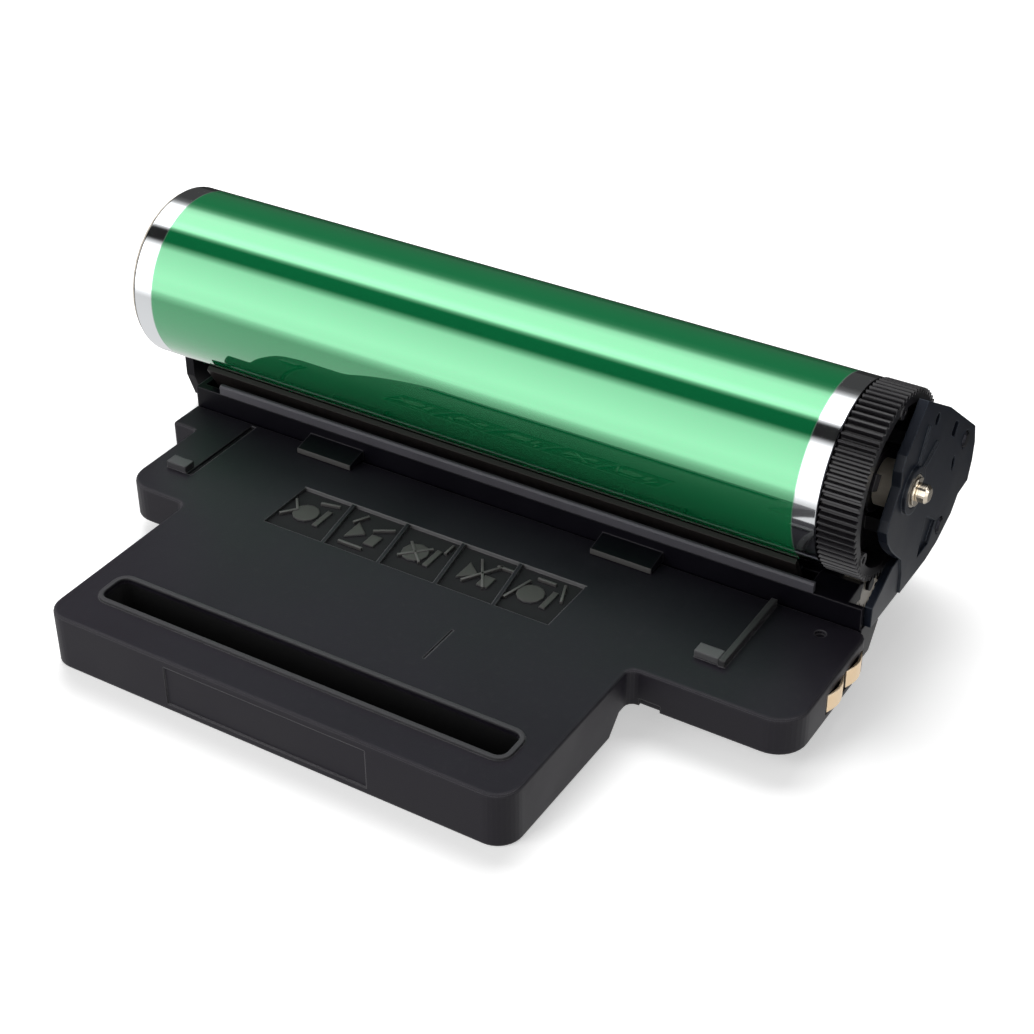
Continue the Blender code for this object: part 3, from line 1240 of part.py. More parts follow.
# A shaft with one helical flight round it, as one skin: rows of points along the shaft, with the
# four corners of the flight set into them step by step.
def make_auger():
    place = (AUGER_Y, AUGER_Z)
    start = BLADE_LEFT + PAST
    stop = FRAME_RIGHT - FRAME_WALL - 2 * PAST
    ends = (WING_LEFT - PAST, SMALL_GEAR_END + PAST)
    steps = int((stop - start - FLIGHT_THICKNESS) / AUGER_PITCH * AUGER_SIDES)
    bm = bmesh.new()

    def point(x, radius, step):
        a = 2 * math.pi * step / AUGER_SIDES
        return bm.verts.new((x, radius * math.cos(a), radius * math.sin(a)))

    corners = []
    for i in range(steps + 1):
        x = start + AUGER_PITCH * i / AUGER_SIDES
        far = x + FLIGHT_THICKNESS
        corners.append([point(x, AUGER_CORE, i), point(x, AUGER_RADIUS, i),
                        point(far, AUGER_RADIUS, i), point(far, AUGER_CORE, i)])
    rows = []
    for c in range(AUGER_SIDES):
        row = [point(ends[0], AUGER_CORE, c)]
        for i in range(c, steps + 1, AUGER_SIDES):
            row += [corners[i][0], corners[i][3]]
        rows.append(row + [point(ends[1], AUGER_CORE, c)])
    for c in range(AUGER_SIDES):
        row = rows[c]
        following = rows[(c + 1) % AUGER_SIDES]
        first = second = 0
        for i in range(c, steps, AUGER_SIDES):
            near = row.index(corners[i][0])
            over = following.index(corners[i + 1][0])
            bm.faces.new(row[first:near + 1] + following[second:over + 1][::-1])
            first = near + 1
            second = over + 1
        bm.faces.new(row[first:] + following[second:][::-1])
    for here, ahead in zip(corners, corners[1:]):
        for j in range(3):
            bm.faces.new((here[j], here[j + 1], ahead[j + 1], ahead[j]))
    bm.faces.new(corners[0])
    bm.faces.new(corners[-1])
    bm.faces.new([row[0] for row in rows])
    bm.faces.new([row[-1] for row in rows])
    bmesh.ops.recalc_face_normals(bm, faces=bm.faces)
    auger = solid("waste_auger", bm, WHITE_PLASTIC)
    auger.location = (0, AUGER_Y, AUGER_Z)

    for name, teeth, where, phase, bore in (
            ("idler_gear", IDLER_TEETH, IDLER_PLACE, IDLER_PHASE, IDLER_PIN + RUNNING),
            ("auger_gear", AUGER_TEETH, place, AUGER_PHASE, AUGER_CORE + GAP)):
        bm = bmesh.new()
        face = SMALL_GEAR_END - SMALL_GEAR_WIDTH
        add_prism(bm, gear_outline(teeth, (0, 0), phase), "X", face, SMALL_GEAR_END)
        gear = solid(name, bm, WHITE_PLASTIC)
        bm = bmesh.new()
        add_rod(bm, face - PAST, SMALL_GEAR_END + PAST, bore, (0, 0), 24)
        combine(gear, bm, "DIFFERENCE")
        gear.location = (0, where[0], where[1])


# Centre of a gear that meshes with two others, on the back side of the line between them.
def between(first, first_radius, second, second_radius):
    start = Vector(first)
    line = Vector(second) - start
    length = line.length
    along = (first_radius ** 2 - second_radius ** 2 + length ** 2) / (2 * length)
    across = math.sqrt(first_radius ** 2 - along ** 2)
    unit = line / length
    point = start + unit * along + Vector((-unit.y, unit.x)) * across
    return (point.x, point.y)


AXIS = (0.0, AXIS_HEIGHT)
DRUM_PITCH = MODULE * DRUM_TEETH / 2
IDLER_RADIUS = MODULE * IDLER_TEETH / 2
AUGER_GEAR_RADIUS = MODULE * AUGER_TEETH / 2
AUGER_PLACE = (AUGER_Y, AUGER_Z)
IDLER_PLACE = between(AXIS, DRUM_PITCH + IDLER_RADIUS, AUGER_PLACE, AUGER_GEAR_RADIUS + IDLER_RADIUS)
IDLER_PHASE = mesh_phase(IDLER_TEETH, IDLER_PLACE, DRUM_TEETH, AXIS, 0.0)
AUGER_PHASE = mesh_phase(AUGER_TEETH, AUGER_PLACE, IDLER_TEETH, IDLER_PLACE, IDLER_PHASE)
HEAD_START = math.radians(104)
HEAD_END = math.radians(256)
BAY_OUTLINE = from_axis(PLATE_CORNERS + tuple(arc((0, 0), PLATE_HEAD_RADIUS, HEAD_START, HEAD_END, 20)))

CHARCOAL = material("charcoal plastic", (0.020, 0.020, 0.024), 0.42)
BLACK_PLASTIC = material("black gear plastic", (0.012, 0.012, 0.014), 0.38)
BLUE_BLACK = material("blue black plastic", (0.013, 0.018, 0.028), 0.38)
WHITE_PLASTIC = material("white acetal", (0.78, 0.77, 0.73), 0.4)
PALE_GREY = material("grey seal", (0.17, 0.18, 0.20), 0.5)
GREEN_COAT = material("green drum coating", (0.01, 0.22, 0.07), 0.08, 0.5)
ALUMINIUM = material("bare aluminium", (0.86, 0.87, 0.88), 0.12, 1.0)
STEEL = material("steel", (0.62, 0.6, 0.57), 0.22, 1.0)
DARK_STEEL = material("blackened steel", (0.06, 0.06, 0.07), 0.35, 1.0)
BRASS = material("brass", (0.75, 0.5, 0.24), 0.25, 1.0)
RUBBER = material("black rubber", (0.02, 0.02, 0.02), 0.7)
FOAM = material("grey foam", (0.12, 0.12, 0.13), 0.95)
URETHANE = material("dark urethane", (0.05, 0.035, 0.025), 0.35)

make_tray_cover()
make_tray_base()
make_contacts()
make_frame()
make_end_plates()
make_bushings()
make_drum()
make_rollers()
make_blade()
make_auger()
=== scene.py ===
import json
import math

import bmesh
import bpy
from mathutils import Matrix, Vector


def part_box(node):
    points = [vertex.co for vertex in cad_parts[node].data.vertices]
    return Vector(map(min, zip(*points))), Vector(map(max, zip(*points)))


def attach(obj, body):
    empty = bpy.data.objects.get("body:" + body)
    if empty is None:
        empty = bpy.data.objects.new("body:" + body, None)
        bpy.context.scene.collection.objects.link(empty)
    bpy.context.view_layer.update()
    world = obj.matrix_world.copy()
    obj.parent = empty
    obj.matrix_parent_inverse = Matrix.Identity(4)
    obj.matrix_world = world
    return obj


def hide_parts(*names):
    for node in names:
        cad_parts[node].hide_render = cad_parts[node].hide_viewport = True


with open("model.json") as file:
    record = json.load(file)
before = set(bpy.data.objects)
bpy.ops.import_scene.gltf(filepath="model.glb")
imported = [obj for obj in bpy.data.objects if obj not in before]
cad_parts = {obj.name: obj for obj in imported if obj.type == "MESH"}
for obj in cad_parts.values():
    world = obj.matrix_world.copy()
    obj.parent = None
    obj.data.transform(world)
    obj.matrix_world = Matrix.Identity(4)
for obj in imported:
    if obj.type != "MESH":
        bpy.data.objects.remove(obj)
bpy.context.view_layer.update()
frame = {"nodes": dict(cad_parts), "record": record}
cadNodes = frame["nodes"]
print("frame loaded:", len(cadNodes), "nodes")


def deselectAll():
    if bpy.context.object and bpy.context.object.mode != "OBJECT":
        bpy.ops.object.mode_set(mode="OBJECT")
    bpy.ops.object.select_all(action="DESELECT")


def blankMaterial(name):
    material = bpy.data.materials.new(name)
    material.use_nodes = True
    tree = material.node_tree
    tree.nodes.clear()
    return material, tree, tree.nodes.new("ShaderNodeOutputMaterial")


def newMaterial(name):
    material, tree, output = blankMaterial(name)
    shader = tree.nodes.new("ShaderNodeBsdfPrincipled")
    tree.links.new(shader.outputs["BSDF"], output.inputs["Surface"])
    return material, tree, shader


def feed(tree, socket, value):
    # links the output of another node, or sets a number or a colour
    if isinstance(value, bpy.types.NodeSocket):
        tree.links.new(value, socket)
    elif isinstance(value, tuple):
        socket.default_value = (*value, 1.0)
    else:
        socket.default_value = value


def mathNode(tree, operation, *values, clamp=False):
    node = tree.nodes.new("ShaderNodeMath")
    node.operation = operation
    node.use_clamp = clamp
    for socket, value in zip(node.inputs, values):
        feed(tree, socket, value)
    return node.outputs[0]


def vectorNode(tree, operation, *values):
    node = tree.nodes.new("ShaderNodeVectorMath")
    node.operation = operation
    for socket, value in zip(node.inputs, values):
        tree.links.new(value, socket)
    return node.outputs


def mapRange(tree, value, fromLow, fromHigh, toLow=0.0, toHigh=1.0):
    node = tree.nodes.new("ShaderNodeMapRange")
    node.interpolation_type = "SMOOTHSTEP"
    tree.links.new(value, node.inputs["Value"])
    node.inputs["From Min"].default_value = fromLow
    node.inputs["From Max"].default_value = fromHigh
    node.inputs["To Min"].default_value = toLow
    node.inputs["To Max"].default_value = toHigh
    return node.outputs["Result"]


def mixColours(tree, factor, first, second):
    node = tree.nodes.new("ShaderNodeMix")
    node.data_type = "RGBA"
    tree.links.new(factor, node.inputs["Factor"])
    colours = [socket for socket in node.inputs if socket.type == "RGBA"]
    for socket, value in zip(colours, (first, second)):
        feed(tree, socket, value)
    return [socket for socket in node.outputs if socket.type == "RGBA"][0]


def noiseNode(tree, point, scale, detail):
    node = tree.nodes.new("ShaderNodeTexNoise")
    node.inputs["Detail"].default_value = detail
    tree.links.new(point, node.inputs["Vector"])
    feed(tree, node.inputs["Scale"], scale)
    return node.outputs["Fac"]


def objectPoint(tree):
    return tree.nodes.new("ShaderNodeTexCoord").outputs["Object"]


def splitPoint(tree, point):
    node = tree.nodes.new("ShaderNodeSeparateXYZ")
    tree.links.new(point, node.inputs[0])
    return node.outputs


def newGroup(name, inputs, outputs):
    # inputs and outputs give the name and the kind of each socket
    group = bpy.data.node_groups.new(name, "ShaderNodeTree")
    for direction, sockets in (("INPUT", inputs), ("OUTPUT", outputs)):
        for socketName, kind in sockets.items():
            group.interface.new_socket(socketName, in_out=direction, socket_type="NodeSocket" + kind)
    given = group.nodes.new("NodeGroupInput").outputs
    result = group.nodes.new("NodeGroupOutput").inputs
    return group, given, result


def addGroup(tree, group, values):
    node = tree.nodes.new("ShaderNodeGroup")
    node.node_tree = group
    for socketName, value in values.items():
        node.inputs[socketName].default_value = value
    return node.outputs


def makeEdgeGroup():
    # rounded edge normal, and a mask that is 1 along the edges, where a lighter colour is mixed in as a
    # painted highlight
    group, given, result = newGroup(
        "edgeSoftening", {"Radius": "Float", "Gain": "Float"}, {"Mask": "Float", "Normal": "Vector"})
    bevel = group.nodes.new("ShaderNodeBevel")
    bevel.samples = 6
    group.links.new(given["Radius"], bevel.inputs["Radius"])
    geometry = group.nodes.new("ShaderNodeNewGeometry")
    alike = vectorNode(group, "DOT_PRODUCT", bevel.outputs["Normal"], geometry.outputs["Normal"])
    bend = mathNode(group, "SUBTRACT", 1.0, alike["Value"])
    group.links.new(mathNode(group, "MULTIPLY", bend, given["Gain"], clamp=True), result["Mask"])
    group.links.new(bevel.outputs["Normal"], result["Normal"])
    return group


grainLook = {"fineDetail": 3.0, "toneScale": 34.0, "toneDetail": 5.0}


def makeGrainGroup():
    # fine moulded texture: height of the grain, and a slow change of tone
    look = grainLook
    group, given, result = newGroup(
        "mouldGrain", {"Grains per metre": "Float"}, {"Height": "Float", "Tone": "Float"})
    point = objectPoint(group)
    fine = noiseNode(group, point, given["Grains per metre"], look["fineDetail"])
    slow = noiseNode(group, point, look["toneScale"], look["toneDetail"])
    group.links.new(fine, result["Height"])
    group.links.new(slow, result["Tone"])
    return group


dustLook = {"facingUp": (0.55, 0.95), "speckScale": 420.0, "speckDetail": 6.0, "speckSpan": (0.52, 0.75)}


def makeDustGroup():
    # thin dust that lies on faces that look up
    look = dustLook
    group, given, result = newGroup("settledDust", {"Amount": "Float"}, {"Mask": "Float"})
    geometry = group.nodes.new("ShaderNodeNewGeometry")
    up = splitPoint(group, geometry.outputs["Normal"])["Z"]
    upward = mapRange(group, up, *look["facingUp"])
    noise = noiseNode(group, objectPoint(group), look["speckScale"], look["speckDetail"])
    speck = mapRange(group, noise, *look["speckSpan"])
    dusty = mathNode(group, "MULTIPLY", upward, speck)
    group.links.new(mathNode(group, "MULTIPLY", dusty, given["Amount"], clamp=True), result["Mask"])
    return group


turningLook = {"roundScale": 30.0, "detail": 2.0}


def makeTurningGroup():
    # fine rings round the X axis, as a lathe or a grinding wheel leaves them
    look = turningLook
    group, given, result = newGroup("turningLines", {"Lines per metre": "Float"}, {"Height": "Float"})
    axes = splitPoint(group, objectPoint(group))
    stretched = group.nodes.new("ShaderNodeCombineXYZ")
    scales = {"X": given["Lines per metre"], "Y": look["roundScale"], "Z": look["roundScale"]}
    for axis, scale in scales.items():
        group.links.new(mathNode(group, "MULTIPLY", axes[axis], scale), stretched.inputs[axis])
    group.links.new(noiseNode(group, stretched.outputs["Vector"], 1.0, look["detail"]), result["Height"])
    return group


def makeBoxGroup():
    # 1 inside a box given in object coordinates, 0 outside it
    group, given, result = newGroup(
        "insideBox", {"Low": "Vector", "High": "Vector", "Sharpness": "Float"}, {"Mask": "Float"})
    point = objectPoint(group)
    mask = 1.0
    for first, second in ((point, given["Low"]), (given["High"], point)):
        gap = vectorNode(group, "SUBTRACT", first, second)["Vector"]
        for side in splitPoint(group, gap):
            factor = mathNode(group, "MULTIPLY", side, given["Sharpness"], clamp=True)
            mask = mathNode(group, "MULTIPLY", mask, factor)
    group.links.new(mask, result["Mask"])
    return group


edgeSoftening = makeEdgeGroup()
mouldGrain = makeGrainGroup()
settledDust = makeDustGroup()
turningLines = makeTurningGroup()
insideBox = makeBoxGroup()
print("shared effects ready")


toneSpan = (0.3, 0.7)  # tones of the smoothest and the roughest places


def darker(colour, share):
    return tuple(value * share for value in colour)


def bumpFrom(tree, height, strength, distance, normal=None):
    bump = tree.nodes.new("ShaderNodeBump")
    bump.inputs["Strength"].default_value = strength
    bump.inputs["Distance"].default_value = distance
    tree.links.new(height, bump.inputs["Height"])
    if normal is not None:
        tree.links.new(normal, bump.inputs["Normal"])
    return bump.outputs["Normal"]


def paintArea(tree, area, colour, rough):
    # another colour and roughness inside one box of the piece, used for painted shade and painted
    # highlights
    inside = addGroup(
        tree, insideBox, {"Low": area["low"], "High": area["high"], "Sharpness": area["sharp"]})["Mask"]
    change = mathNode(tree, "SUBTRACT", area["rough"], rough)
    changed = mathNode(tree, "ADD", rough, mathNode(tree, "MULTIPLY", change, inside))
    return mixColours(tree, inside, colour, area["colour"]), changed


def mouldedPlastic(name, look):
    material, tree, shader = newMaterial(name)
    grain = addGroup(tree, mouldGrain, {"Grains per metre": look["grains"]})
    edge = addGroup(tree, edgeSoftening, {"Radius": look["edgeRadius"], "Gain": look["edgeGain"]})
    dust = addGroup(tree, settledDust, {"Amount": look["dust"]})
    colour = mixColours(tree, grain["Tone"], darker(look["colour"], look["toneLow"]), look["colour"])
    # painted highlight: a lighter colour mixed in along the edges
    colour = mixColours(tree, edge["Mask"], colour, look["edgeHighlightColour"])
    colour = mixColours(tree, dust["Mask"], colour, look["dustColour"])
    rough = mapRange(tree, grain["Tone"], *toneSpan, look["roughLow"], look["roughHigh"])
    # boxes of painted shade and painted highlight
    for area in look.get("areas", {}).values():
        colour, rough = paintArea(tree, area, colour, rough)
    tree.links.new(colour, shader.inputs["Base Color"])
    tree.links.new(rough, shader.inputs["Roughness"])
    shader.inputs["Specular IOR Level"].default_value = look["specular"]
    normal = bumpFrom(tree, grain["Height"], look["bump"], look["bumpDepth"], edge["Normal"])
    tree.links.new(normal, shader.inputs["Normal"])
    return material


# places on the tray and the frame, in metres, made darker by painted shade or lighter by a painted
# highlight than the rest
trayPaintedLight = {
    # painted shade: the inside of the finger slot, darkened as the shade in the hollow
    "fingerSlotPaintedShade": {
        "low": (-0.070, -0.1310, -0.001), "high": (0.087, -0.1145, 0.0178), "sharp": 1500.0,
        "colour": (0.0006, 0.0006, 0.0008), "rough": 0.95},
    # painted highlight: the lip of the finger slot, lightened as a lit edge
    "fingerSlotLipHighlight": {
        "low": (-0.0680, -0.1310, 0.01865), "high": (0.0850, -0.1145, 0.0198), "sharp": 5000.0,
        "colour": (0.045, 0.044, 0.048), "rough": 0.4},
    # painted shade: the floor of the sign cells, darkened as the shade in the recess
    "signCellFloorPaintedShade": {
        "low": (-0.052, -0.0690, 0.0150), "high": (0.064, -0.0452, 0.01765), "sharp": 9000.0,
        "colour": (0.0042, 0.0040, 0.0052), "rough": 0.7},
    # painted highlight: the tops of the moulded signs, lightened as light on the raised strokes
    "signTopsHighlight": {
        "low": (-0.052, -0.0690, 0.01780), "high": (0.064, -0.0452, 0.01835), "sharp": 9000.0,
        "colour": (0.070, 0.068, 0.066), "rough": 0.4},
    # painted highlight: the back wall of the sign cells, lightened as the lit wall that faces the front
    "signCellBackWallHighlight": {
        "low": (-0.0475, -0.0458, 0.0173), "high": (0.0615, -0.0452, 0.0188), "sharp": 9000.0,
        "colour": (0.17, 0.168, 0.172), "rough": 0.35},
    # painted highlight: the right rib, lightened as its lit side
    "rightRibHighlight": {
        "low": (0.1140, -0.0620, 0.0188), "high": (0.1180, -0.0180, 0.0220), "sharp": 5000.0,
        "colour": (0.060, 0.060, 0.062), "rough": 0.4},
    # painted highlight: the front block of the right lug, lightened as lit
    "rightLugHighlight": {
        "low": (0.1055, -0.0603, 0.0189), "high": (0.1145, -0.0545, 0.0214), "sharp": 6000.0,
        "colour": (0.13, 0.13, 0.135), "rough": 0.35},
    # painted highlight: the block of the left lug, lightened as lit
    "leftLugHighlight": {
        "low": (-0.0956, -0.0600, 0.0189), "high": (-0.0864, -0.0546, 0.0214), "sharp": 6000.0,
        "colour": (0.085, 0.085, 0.090), "rough": 0.35}}

framePaintedLight = {
    # painted highlight: the lit front edges of the clip tongues
    "clipTongueFrontsHighlight": {
        "low": (-0.0625, -0.0303, 0.0188), "high": (0.0760, -0.0296, 0.0210), "sharp": 9000.0,
        "colour": (0.12, 0.118, 0.116), "rough": 0.35}}

plasticLooks = {
    "trayPlastic": {
        "colour": (0.0076, 0.0062, 0.0104), "toneLow": 0.86, "edgeHighlightColour": (0.105, 0.102, 0.110),
        "edgeRadius": 0.0008, "edgeGain": 6.0, "dust": 0.04, "dustColour": (0.06, 0.058, 0.064),
        "roughLow": 0.42, "roughHigh": 0.52, "specular": 0.24,
        "grains": 2600.0, "bump": 0.16, "bumpDepth": 0.0002, "areas": trayPaintedLight},
    "framePlastic": {
        "colour": (0.0024, 0.0021, 0.0040), "toneLow": 0.8, "edgeHighlightColour": (0.060, 0.058, 0.066),
        "edgeRadius": 0.0007, "edgeGain": 5.0, "dust": 0.03, "dustColour": (0.04, 0.04, 0.045),
        "roughLow": 0.36, "roughHigh": 0.46, "specular": 0.11,
        "grains": 2600.0, "bump": 0.14, "bumpDepth": 0.0002, "areas": framePaintedLight},
    "gearPlastic": {
        "colour": (0.0120, 0.0110, 0.0130), "toneLow": 0.85, "edgeHighlightColour": (0.022, 0.021, 0.024),
        "edgeRadius": 0.0003, "edgeGain": 2.0, "dust": 0.02, "dustColour": (0.06, 0.06, 0.06),
        "roughLow": 0.30, "roughHigh": 0.38, "specular": 0.5,
        "grains": 1800.0, "bump": 0.05, "bumpDepth": 0.0002},
    "platePlastic": {
        "colour": (0.0075, 0.0105, 0.0185), "toneLow": 0.8, "edgeHighlightColour": (0.062, 0.078, 0.100),
        "edgeRadius": 0.0006, "edgeGain": 4.0, "dust": 0.02, "dustColour": (0.07, 0.07, 0.07),
        "roughLow": 0.32, "roughHigh": 0.42, "specular": 0.24,
        "grains": 2200.0, "bump": 0.08, "bumpDepth": 0.0002},
    "whiteAcetal": {
        "colour": (0.62, 0.56, 0.47), "toneLow": 0.9, "edgeHighlightColour": (0.70, 0.67, 0.60),
        "edgeRadius": 0.0004, "edgeGain": 2.0, "dust": 0.02, "dustColour": (0.3, 0.3, 0.3),
        "roughLow": 0.3, "roughHigh": 0.38, "specular": 0.5,
        "grains": 1500.0, "bump": 0.05, "bumpDepth": 0.0002},
    "sealPlastic": {
        "colour": (0.115, 0.112, 0.130), "toneLow": 0.6, "edgeHighlightColour": (0.13, 0.13, 0.15),
        "edgeRadius": 0.0003, "edgeGain": 2.0, "dust": 0.03, "dustColour": (0.12, 0.12, 0.13),
        "roughLow": 0.4, "roughHigh": 0.5, "specular": 0.4,
        "grains": 1200.0, "bump": 0.2, "bumpDepth": 0.0003},
    # painted highlight: the moulded strokes are made lighter than the tray plastic, as light on their
    # raised tops
    "signHighlightPlastic": {
        "colour": (0.105, 0.102, 0.100), "toneLow": 0.8, "edgeHighlightColour": (0.16, 0.155, 0.15),
        "edgeRadius": 0.0002, "edgeGain": 2.0, "dust": 0.02, "dustColour": (0.12, 0.12, 0.12),
        "roughLow": 0.34, "roughHigh": 0.44, "specular": 0.4,
        "grains": 2600.0, "bump": 0.08, "bumpDepth": 0.0001},
    "blackRubber": {
        "colour": (0.012, 0.012, 0.012), "toneLow": 0.8, "edgeHighlightColour": (0.02, 0.02, 0.02),
        "edgeRadius": 0.0003, "edgeGain": 2.0, "dust": 0.05, "dustColour": (0.1, 0.1, 0.1),
        "roughLow": 0.55, "roughHigh": 0.65, "specular": 0.3,
        "grains": 4200.0, "bump": 0.2, "bumpDepth": 0.0002},
    "greyFoam": {
        "colour": (0.1, 0.1, 0.105), "toneLow": 0.5, "edgeHighlightColour": (0.12, 0.12, 0.12),
        "edgeRadius": 0.0004, "edgeGain": 1.0, "dust": 0.0, "dustColour": (0.1, 0.1, 0.1),
        "roughLow": 0.9, "roughHigh": 0.98, "specular": 0.1,
        "grains": 1500.0, "bump": 0.8, "bumpDepth": 0.0006},
    "darkUrethane": {
        "colour": (0.012, 0.010, 0.010), "toneLow": 0.85, "edgeHighlightColour": (0.04, 0.03, 0.022),
        "edgeRadius": 0.0003, "edgeGain": 1.0, "dust": 0.0, "dustColour": (0.1, 0.1, 0.1),
        "roughLow": 0.4, "roughHigh": 0.46, "specular": 0.2,
        "grains": 900.0, "bump": 0.04, "bumpDepth": 0.0002}}


def groundMetal(name, look):
    material, tree, shader = newMaterial(name)
    lines = addGroup(tree, turningLines, {"Lines per metre": look["lines"]})
    grain = addGroup(tree, mouldGrain, {"Grains per metre": look["grains"]})
    edge = addGroup(tree, edgeSoftening, {"Radius": look["edgeRadius"], "Gain": look["edgeGain"]})
    colour = mixColours(tree, grain["Tone"], look["stain"], look["colour"])
    # painted highlight: a lighter colour mixed in along the edges
    colour = mixColours(tree, edge["Mask"], colour, look["edgeHighlightColour"])
    tree.links.new(colour, shader.inputs["Base Color"])
    shader.inputs["Metallic"].default_value = 1.0
    rough = mapRange(tree, grain["Tone"], *toneSpan, look["roughLow"], look["roughHigh"])
    tree.links.new(rough, shader.inputs["Roughness"])
    normal = bumpFrom(tree, lines["Height"], look["bump"], look["bumpDepth"], edge["Normal"])
    tree.links.new(normal, shader.inputs["Normal"])
    return material


metalLooks = {
    "groundSteel": {
        "colour": (0.80, 0.72, 0.60), "stain": (0.62, 0.54, 0.43), "edgeHighlightColour": (0.88, 0.84, 0.78),
        "edgeRadius": 0.0003, "edgeGain": 2.0, "roughLow": 0.16, "roughHigh": 0.26,
        "lines": 5000.0, "grains": 900.0, "bump": 0.2, "bumpDepth": 0.00008},
    "darkSteel": {
        "colour": (0.030, 0.030, 0.036), "stain": (0.018, 0.018, 0.022), "edgeHighlightColour": (0.07, 0.07, 0.08),
        "edgeRadius": 0.0003, "edgeGain": 2.0, "roughLow": 0.34, "roughHigh": 0.46,
        "lines": 900.0, "grains": 500.0, "bump": 0.1, "bumpDepth": 0.00008},
    "contactBrass": {
        "colour": (0.97, 0.80, 0.56), "stain": (0.84, 0.58, 0.34), "edgeHighlightColour": (0.98, 0.92, 0.78),
        "edgeRadius": 0.0004, "edgeGain": 3.0, "roughLow": 0.26, "roughHigh": 0.40,
        "lines": 2600.0, "grains": 700.0, "bump": 0.15, "bumpDepth": 0.00008}}


drumLook = {
    # distances along X from the middle of the tube: end of the green coating, start of the dark rim
    "coatEnd": 0.1212, "coatFade": 0.0004, "rimStart": 0.1284, "rimFade": 0.0002,
    "coatColour": (0.003, 0.39, 0.118), "coatToneLow": 0.94, "coatMetallic": 0.56, "coatRough": 0.05,
    "clearIor": 2.05, "clearRough": 0.03,
    "bareColour": (0.82, 0.84, 0.86), "bareRough": 0.07, "rimColour": (0.02, 0.02, 0.024),
    "lines": 2500.0, "grains": 600.0, "bump": 0.02, "bumpDepth": 0.00005}


def makeDrumCoat():
    look = drumLook
    material, tree, shader = newMaterial("drumCoat")
    away = mathNode(tree, "ABSOLUTE", splitPoint(tree, objectPoint(tree))["X"])
    fadeFrom, fadeTo = look["coatEnd"] - look["coatFade"], look["coatEnd"] + look["coatFade"]
    coated = mapRange(tree, away, fadeFrom, fadeTo, 1.0, 0.0)
    rim = mapRange(tree, away, look["rimStart"], look["rimStart"] + look["rimFade"])
    lines = addGroup(tree, turningLines, {"Lines per metre": look["lines"]})
    grain = addGroup(tree, mouldGrain, {"Grains per metre": look["grains"]})
    deep = darker(look["coatColour"], look["coatToneLow"])
    green = mixColours(tree, grain["Tone"], deep, look["coatColour"])
    bare = mixColours(tree, rim, look["bareColour"], look["rimColour"])
    tree.links.new(mixColours(tree, coated, bare, green), shader.inputs["Base Color"])
    metal = mapRange(tree, coated, 0.0, 1.0, 1.0, look["coatMetallic"])
    tree.links.new(metal, shader.inputs["Metallic"])
    rough = mapRange(tree, coated, 0.0, 1.0, look["bareRough"], look["coatRough"])
    tree.links.new(rough, shader.inputs["Roughness"])
    tree.links.new(coated, shader.inputs["Coat Weight"])
    shader.inputs["Coat IOR"].default_value = look["clearIor"]
    shader.inputs["Coat Roughness"].default_value = look["clearRough"]
    normal = bumpFrom(tree, lines["Height"], look["bump"], look["bumpDepth"])
    tree.links.new(normal, shader.inputs["Normal"])
    return material


finishes = {name: mouldedPlastic(name, look) for name, look in plasticLooks.items()}
finishes.update({name: groundMetal(name, look) for name, look in metalLooks.items()})
finishes["drumCoat"] = makeDrumCoat()

slotFinish = {
    "tray_plastic": "trayPlastic", "frame_plastic": "framePlastic", "gear_plastic": "gearPlastic",
    "plate_plastic": "platePlastic", "acetal": "whiteAcetal", "seal": "sealPlastic",
    "drum_coat": "drumCoat", "steel": "groundSteel", "dark_steel": "darkSteel", "brass": "contactBrass",
    "rubber": "blackRubber", "foam": "greyFoam", "urethane": "darkUrethane"}

for part in frame["record"]["subparts"]:
    node = cadNodes[part["node"]]
    node.data.materials.clear()
    node.data.materials.append(finishes[slotFinish[part["material_slot"]]])
print("finishes placed")


def edgesWhere(mesh, test):
    # selects the edges whose two ends pass the test, in edit mode
    work = bmesh.from_edit_mesh(mesh)
    work.select_mode = {"EDGE"}
    for edge in work.edges:
        edge.select_set(all(test(end.co) for end in edge.verts))
    work.select_flush_mode()
    bmesh.update_edit_mesh(mesh)


def facesWhere(mesh, test):
    work = bmesh.from_edit_mesh(mesh)
    work.select_mode = {"FACE"}
    for face in work.faces:
        face.select_set(test(face))
    work.select_flush_mode()
    bmesh.update_edit_mesh(mesh)


def finishPiece(piece, finish, body, smoothAngle=35):
    # smooth shading, material, and the CAD body that carries it
    deselectAll()
    piece.select_set(True)
    bpy.context.view_layer.objects.active = piece
    bpy.ops.object.transform_apply(location=True, rotation=True, scale=True)
    bpy.ops.object.shade_smooth_by_angle(angle=math.radians(smoothAngle))
    piece.data.materials.clear()
    piece.data.materials.append(finishes[finish])
    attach(piece, body)


tubeLook = {
    "sides": 224, "wall": 0.0014, "rimRound": 0.0004, "roundSteps": 3,
    "supportLoop": 0.0007, "tolerance": 0.0001}


